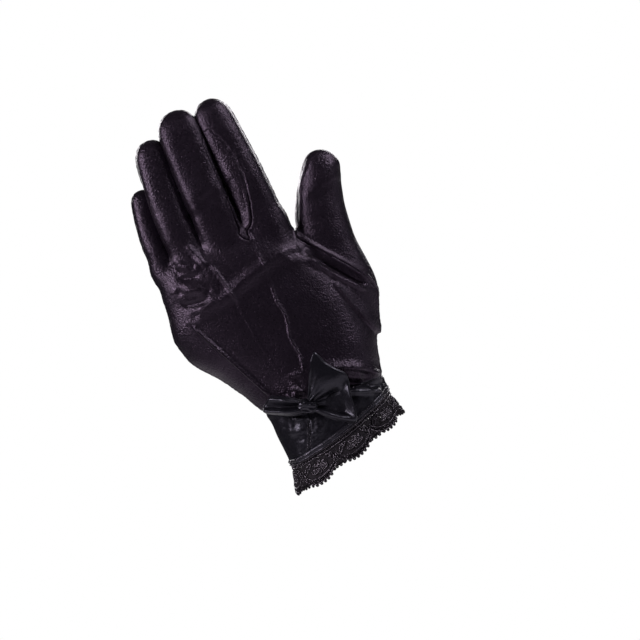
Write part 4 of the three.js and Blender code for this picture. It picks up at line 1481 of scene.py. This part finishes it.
def picot_places():
    """Middles of the picot loops along the edge, and the way the lace faces at each."""
    place = (np.arange(SCALLOPS * PICOTS_PER_SCALLOP) + 0.5) / PICOTS_PER_SCALLOP
    middle = lace_path(place, lace_depth(place) - PICOT_IN, EDGE_PROUD)
    across = lace_path(place + 0.01, lace_depth(place)) - lace_path(place - 0.01, lace_depth(place))
    down = lace_path(place, lace_depth(place) + 0.5) - lace_path(place, lace_depth(place) - 0.5)
    facing = np.cross(across, down)
    return middle, facing / np.linalg.norm(facing, axis=1)[:, None]


class GLOVE_OT_lace(bpy.types.Operator):
    """Work the scalloped lace: net ground, petals, corded edge and picots"""

    bl_idname = "glove.lace"
    bl_label = "Lace edge"

    def execute(self, context):
        thread = thread_material()
        cord = sizes().lace_cord
        threads = [("lace_cords", lace_cords(), cord, 6),
                   ("lace_fill", lace_fill(), sizes().lace_net * FILL_THREAD, 5)]
        parts = []
        for name, paths, radius, sides in threads:
            piece = new_piece(name, path_mesh(name, paths))
            parts.append(grown(piece, thread_tree(), radius=radius, sides=sides, material=thread))
        parts.append(lace_ground())
        middle, facing = picot_places()
        picots = new_piece("lace_picots", new_mesh("picots", middle))
        attribute = picots.data.attributes.new("facing", "FLOAT_VECTOR", "POINT")
        attribute.data.foreach_set("vector", facing.ravel())
        parts.append(grown(picots, picot_tree(), loop=PICOT_LOOP * MM, radius=PICOT_THREAD * cord,
                           material=thread))
        finish_piece(joined("lace_edge", parts, thread, lace_ground_material()), "lace", "lace_trim")
        return {"FINISHED"}


# Stitches

# Rows of topstitching on the hem band: share of its height and distance out
HEM_STITCHES = [(0.2, 0.86), (0.86, 0.84)]
# Distance of the cuff seam's two rows from the seam, and how far out the rays to the cloth start
CUFF_STITCH_SIDES = (-0.75, 0.75)
RAY_START = 60.0
# Stitches on the elastic: places round the wrist, the wrist's radius and the drop below the elastic
ELASTIC_PLACES = 300
WRIST_RADIUS = 34.0
ELASTIC_DROP = 0.6
HEM_PLACES = 600


def laid_on(tree, starts, way):
    """Where rays from the starting places first meet the cloth, in millimetres."""
    hits = []
    for start in starts:
        place = tree.ray_cast(Vector(start) * MM, Vector(way(start)))[0]
        if place is not None:
            hits.append(np.array(place) / MM)
    return np.array(hits)


def cloth_surface():
    """A search tree of the satin pieces' outside."""
    work = bmesh.new()
    for name in ("cuff", "back_panel", "palm_panel", "thumb"):
        work.from_mesh(bpy.data.objects["satin_" + name].data)
    tree = BVHTree.FromBMesh(work)
    work.free()
    return tree


class GLOVE_OT_stitches(bpy.types.Operator):
    """Sew the cuff's closing seam, the elastic and the hem"""

    bl_idname = "glove.stitches"
    bl_label = "Stitches"

    def execute(self, context):
        tree = cloth_surface()
        rows = []
        for shift in CUFF_STITCH_SIDES:
            seam = [(x + shift, -RAY_START, z) for x, z in smooth_path(CUFF_SEAM, 0.6)]
            rows.append(laid_on(tree, seam, lambda start: (0.0, 1.0, 0.0)))
        middle_x, middle_y = WRIST_AXIS
        ring = []
        for turn in np.linspace(0.0, 2.0 * math.pi, ELASTIC_PLACES):
            height = ELASTIC_TILT * (middle_x + WRIST_RADIUS * math.cos(turn)) - ELASTIC_DROP
            out_x, out_y = RAY_START * math.cos(turn), RAY_START * math.sin(turn)
            ring.append((middle_x + out_x, middle_y + out_y, height))
        rows.append(laid_on(tree, ring, lambda start: (middle_x - start[0], middle_y - start[1], 0.0)))
        share = np.linspace(0.0, 1.0, HEM_PLACES)
        deep = sizes().hem_height / MM
        rows += [ring_point(share, down * deep, proud) for down, proud in HEM_STITCHES]
        piece = new_piece("sewn_stitches", path_mesh("stitches", rows))
        grown(piece, stitch_tree(), pitch=sizes().stitch_pitch, length=sizes().stitch_length,
              radius=sizes().stitch_thread, material=thread_material())
        finish_piece(piece, "lace")
        return {"FINISHED"}


# Bow

# Knot: middle, half sizes across, in depth and along its wrap, and its turn on the wrist
KNOT_CENTRE = (-8.2, -25.6, -2.2)
KNOT_SIZE = (3.7, 3.12, 5.6)
KNOT_TURN = 1.09
KNOT_SIDES = 96
KNOT_ROWS = 41
# How the knot rounds off at its ends, and the ribbon's folds across it: depth, number and sway
KNOT_ROUND = 3.2
KNOT_FOLDS = [(0.10, 5.0, 1.0), (-0.05, 11.0, -1.4)]
KNOT_SWAY = (0.9, 4.2, 0.6)

# Ribbon loops: each row runs from the knot outwards, rows go round from the loop's upper edge to its
# lower edge; points are x, y, z
RIGHT_LOOP = np.array([
    [(-6.8, -26.8, 1.4), (-3.4, -29.5, 7.4), (-0.4, -31.0, 13.2), (3.2, -30.6, 19.0)],
    [(-6.6, -26.6, 1.2), (-2.0, -29.4, 8.2), (2.2, -30.8, 15.0), (6.8, -30.4, 21.8)],
    [(-6.4, -26.8, 0.8), (-0.6, -29.8, 6.2), (4.2, -31.2, 11.2), (9.2, -30.6, 15.4)],
    [(-6.2, -26.8, 0.4), (0.4, -29.8, 4.2), (6.6, -31.2, 7.6), (12.6, -30.6, 10.2)],
    [(-6.0, -26.6, -0.2), (1.2, -29.0, 2.4), (8.6, -30.4, 4.2), (16.4, -30.2, 5.6)],
    [(-5.8, -26.0, -1.0), (1.8, -27.4, 0.6), (9.2, -28.2, 0.9), (16.4, -29.2, 1.0)],
    [(-5.6, -25.4, -1.8), (1.8, -25.2, -1.8), (8.6, -24.6, -2.6), (14.8, -30.4, -4.6)],
    [(-5.6, -25.2, -2.8), (1.2, -24.8, -4.6), (7.4, -24.2, -7.4), (13.8, -30.6, -11.6)],
    [(-5.8, -25.6, -3.8), (0.2, -25.4, -7.2), (6.0, -25.4, -11.6), (12.8, -30.8, -17.0)],
    [(-6.2, -27.0, -4.6), (-1.8, -29.4, -8.2), (3.2, -30.8, -13.0), (11.4, -30.6, -19.4)],
    [(-6.6, -26.0, -5.6), (-3.0, -27.4, -9.6), (1.8, -28.0, -14.8), (9.4, -27.6, -20.2)],
])
LEFT_LOOP = np.array([
    [(-8.0, -24.4, 1.6), (-13.0, -25.0, 4.8), (-18.0, -24.6, 8.0), (-23.0, -21.4, 10.8)],
    [(-8.2, -26.4, 0.6), (-13.4, -28.0, 3.0), (-19.2, -27.4, 6.4), (-25.2, -23.4, 9.8)],
    [(-8.4, -25.6, -0.6), (-13.8, -25.4, 1.2), (-20.2, -24.4, 4.4), (-27.4, -21.4, 8.2)],
    [(-8.4, -25.4, -1.6), (-14.0, -24.8, -0.2), (-20.8, -23.6, 2.8), (-29.0, -20.8, 6.8)],
    [(-8.4, -26.4, -2.8), (-14.2, -27.6, -1.8), (-21.2, -26.8, 0.6), (-30.4, -22.4, 5.0)],
    [(-8.2, -26.0, -4.0), (-14.0, -26.6, -3.2), (-20.4, -25.6, -1.2), (-29.2, -21.4, 3.0)],
    [(-7.8, -24.8, -5.0), (-13.2, -24.8, -4.8), (-19.0, -23.6, -3.0), (-26.6, -20.2, 1.2)],
])
# A loop's depth, and how far its turned end reaches out as a share of that
LOOP_DEPTH = 2.8
LOOP_ROUND = 0.42
# Points across the ribbon, along its front, round its turned end and along its back
LOOP_STEPS = dict(across=90, front=60, end=9, back=40)
END_ANGLES = (0.3, math.pi - 0.3)
BEHIND_KNOT = 2.4
# Pleats that run out of the knot: number of half waves, depth and how soon they fade
PLEATS = 13.0
PLEAT_DEPTH = 0.5
PLEAT_FADE = 3.4
# Unevenness of the ribbon: wavelength and height; and the angle in degrees from which an edge is crisp
RIBBON_WAVE = 6.0
RIBBON_UNEVEN = 0.35
RIBBON_EDGE = 60.0


def ribbon_loop(name, control, seed):
    """A loop of ribbon: its front runs out from the knot, turns over and comes back behind."""
    across = spline_rows(control, LOOP_STEPS["across"])
    front = spline_rows(across.transpose(1, 0, 2), LOOP_STEPS["front"])
    end = front[-1]
    out = end - front[-2]
    out /= np.linalg.norm(out, axis=1)[:, None]
    turned = []
    for angle in np.linspace(*END_ANGLES, LOOP_STEPS["end"]):
        inwards = np.array([0.0, LOOP_DEPTH * 0.5 * (1.0 - math.cos(angle)), 0.0])
        turned.append(end + out * LOOP_DEPTH * LOOP_ROUND * math.sin(angle) + inwards)
    share = np.linspace(1.0, 0.0, LOOP_STEPS["back"])[:, None]
    behind = end * share[:, :, None] + front[0] * (1.0 - share[:, :, None])
    behind[:, :, 1] = (end[:, 1] + LOOP_DEPTH) * share + (KNOT_CENTRE[1] + BEHIND_KNOT) * (1.0 - share)
    surface = np.concatenate([front, np.array(turned), behind[1:]])
    rows, count = surface.shape[:2]
    pleat = np.cos(np.linspace(0.0, 1.0, count) * math.pi * PLEATS + seed)
    fade = np.exp(-np.linspace(0.0, 1.0, len(front)) * PLEAT_FADE)
    surface[:len(front), :, 1] += PLEAT_DEPTH * pleat[None, :] * fade[:, None]
    points = surface.reshape(-1, 3)
    points[:, 1] += uneven(points, RIBBON_WAVE, seed, RIBBON_UNEVEN)
    return new_mesh(name, points, grid_faces(rows, count, around=False))


def knot_mesh():
    """The wrap round the bow's middle, with the folds of the ribbon across it."""
    along = np.linspace(-1.0, 1.0, KNOT_ROWS)[:, None]
    turn = angles(KNOT_SIDES)
    high, count, start = KNOT_SWAY
    sway = high * np.sin(along * count + start)
    fold = 1.0 + sum(deep * np.cos(turn * folds + lean * sway) for deep, folds, lean in KNOT_FOLDS)
    radius = (1.0 - np.abs(along) ** KNOT_ROUND) ** 0.5 * fold
    half_wide, half_deep, half_long = KNOT_SIZE
    x, z = half_wide * radius * np.cos(turn), half_long * along
    points = np.stack([x * math.cos(KNOT_TURN) - z * math.sin(KNOT_TURN),
                       half_deep * radius * np.sin(turn),
                       x * math.sin(KNOT_TURN) + z * math.cos(KNOT_TURN)], axis=2)
    points = points.reshape(-1, 3) + np.array(KNOT_CENTRE)
    mesh = new_mesh("bow_knot", points, grid_faces(KNOT_ROWS, KNOT_SIDES))
    return fix_outward(mesh, merge=0.01 * MM)


class GLOVE_OT_bow(bpy.types.Operator):
    """Tie the satin bow on the back of the wrist"""

    bl_idname = "glove.bow"
    bl_label = "Bow"

    def execute(self, context):
        ribbon = ribbon_material()
        for name, control, seed in (("bow_loop_right", RIGHT_LOOP, 1.3), ("bow_loop_left", LEFT_LOOP, 4.1)):
            piece = new_piece("ribbon_" + name, ribbon_loop(name, control, seed), ribbon)
            settle(thickened(piece, sizes().ribbon))
            piece.data.shade_smooth()
            piece.data.set_sharp_from_angle(angle=math.radians(RIBBON_EDGE))
            finish_piece(piece, "bow_satin", name)
        knot = new_piece("ribbon_bow_knot", knot_mesh(), ribbon)
        knot.data.shade_smooth()
        finish_piece(knot, "bow_satin", "bow_knot")
        return {"FINISHED"}


# Stage

# Camera: its right and up, the millimetre place that it looks at, its distance in metres, its sensor
# and the width that it sees at the glove
CAMERA_RIGHT = (0.9075, 0.0, -0.42)
CAMERA_UP = (0.42, 0.0, 0.9075)
CAMERA_TARGET = (17.3, 0.0, 37.4)
CAMERA_DISTANCE = 1.6
SENSOR_WIDTH = 36.0
VIEW_WIDTH = 351.6 * MM
# Floor: height and half its width in millimetres
FLOOR_Z = -450.0
FLOOR_REACH = 1500.0
# Where the lights point, in metres
LIGHT_TARGET = (0.0, 0.0, 0.06)
# Light of the surroundings on the glove: colour and strength
DIM_COLOUR = (0.93, 0.92, 1.0, 1.0)
DIM_STRENGTH = 0.04
# Lights: place and size in metres, power in watts, colour
LIGHTS = {
    "key": dict(place=(-1.064, -0.614, 0.92), size=(0.45, 0.45), power=15.5, colour=(1.0, 0.94, 0.98)),
    "top": dict(place=(1.11, -0.297, 1.02), size=(0.45, 0.45), power=10.5, colour=(1.0, 0.97, 1.0)),
    "right": dict(place=(1.443, -0.387, 0.19), size=(0.3, 0.8), power=0.8, colour=(0.94, 0.97, 1.0)),
    "back left": dict(place=(-0.45, 1.4, 0.6), size=(0.5, 0.5), power=5.5, colour=(1.0, 0.97, 1.0)),
    "back right": dict(place=(0.6, 1.35, 0.5), size=(0.5, 0.5), power=5.5, colour=(1.0, 0.97, 1.0)),
}


def placed(place, right, up):
    """A matrix at a place that looks square to its right and up."""
    basis = Matrix((right, up, right.cross(up))).transposed().to_4x4()
    return Matrix.Translation(place) @ basis


def look_from(place, target):
    """A matrix at a place whose -Z points at the target."""
    away = (Vector(place) - Vector(target)).normalized()
    side = Vector((0.0, 0.0, 1.0)).cross(away).normalized()
    return placed(place, side, away.cross(side))


def studio_world():
    """White where the camera looks past the glove, and dim grey as a light."""
    world = bpy.data.worlds.new("studio")
    world.use_nodes = True
    tree = world.node_tree
    nodes = tree.nodes
    seen = nodes["Background"]
    seen.inputs["Color"].default_value = (1.0, 1.0, 1.0, 1.0)
    seen.inputs["Strength"].default_value = 1.0
    dim = nodes.new("ShaderNodeBackground")
    dim.inputs["Color"].default_value = DIM_COLOUR
    dim.inputs["Strength"].default_value = DIM_STRENGTH
    path = nodes.new("ShaderNodeLightPath")
    mix = nodes.new("ShaderNodeMixShader")
    link(tree, path, "Is Camera Ray", mix, "Fac")
    link(tree, dim, "Background", mix, 1)
    link(tree, seen, "Background", mix, 2)
    link(tree, mix, "Shader", nodes["World Output"], "Surface")
    return world


class GLOVE_OT_stage(bpy.types.Operator):
    """Set up the plain floor, the soft studio light and the camera"""

    bl_idname = "glove.stage"
    bl_label = "Studio"

    def execute(self, context):
        scene = context.scene
        scene.world = studio_world()
        scene.view_settings.view_transform = "Standard"
        for name, light in LIGHTS.items():
            data = bpy.data.lights.new(name, "AREA")
            data.shape = "RECTANGLE"
            data.size, data.size_y = light["size"]
            data.energy = light["power"]
            data.color = light["colour"]
            lamp = bpy.data.objects.new(name, data)
            scene.collection.objects.link(lamp)
            lamp.matrix_world = look_from(light["place"], LIGHT_TARGET)
        data = bpy.data.cameras.new("camera")
        data.sensor_width = SENSOR_WIDTH
        data.lens = SENSOR_WIDTH * CAMERA_DISTANCE / VIEW_WIDTH
        camera = bpy.data.objects.new("camera", data)
        scene.collection.objects.link(camera)
        right, up = Vector(CAMERA_RIGHT).normalized(), Vector(CAMERA_UP).normalized()
        place = Vector(CAMERA_TARGET) * MM + right.cross(up) * CAMERA_DISTANCE
        camera.matrix_world = placed(place, right, up)
        scene.camera = camera
        corners = [(x * FLOOR_REACH, y * FLOOR_REACH, FLOOR_Z)
                   for x, y in ((-1, -1), (1, -1), (1, 1), (-1, 1))]
        mesh = new_mesh("floor", corners, [(0, 1, 2, 3)])
        new_piece("floor", mesh, floor_material())
        return {"FINISHED"}


class GLOVE_PT_panel(bpy.types.Panel):
    """Glove tools in the sidebar"""

    bl_idname = "GLOVE_PT_panel"
    bl_label = "Glove"
    bl_space_type = "VIEW_3D"
    bl_region_type = "UI"
    bl_category = "Glove"

    def draw(self, context):
        for operator in OPERATORS:
            self.layout.operator(operator.bl_idname)
        for group in (context.scene.glove_sizes, context.scene.glove_colours):
            for name in group.bl_rna.properties.keys():
                if name not in {"rna_type", "name"}:
                    self.layout.prop(group, name)


OPERATORS = [GLOVE_OT_stage, GLOVE_OT_panels, GLOVE_OT_hem, GLOVE_OT_lace, GLOVE_OT_stitches,
             GLOVE_OT_bow]
CLASSES = [GloveSizes, GloveColours] + OPERATORS + [GLOVE_PT_panel]


def register():
    for cls in CLASSES:
        bpy.utils.register_class(cls)
    bpy.types.Scene.glove_sizes = PointerProperty(type=GloveSizes)
    bpy.types.Scene.glove_colours = PointerProperty(type=GloveColours)


def unregister():
    del bpy.types.Scene.glove_colours
    del bpy.types.Scene.glove_sizes
    for cls in reversed(CLASSES):
        bpy.utils.unregister_class(cls)


def main():
    register()
    for operator in OPERATORS:
        group, name = operator.bl_idname.split(".")
        getattr(getattr(bpy.ops, group), name)()


if __name__ == "__main__":
    main()
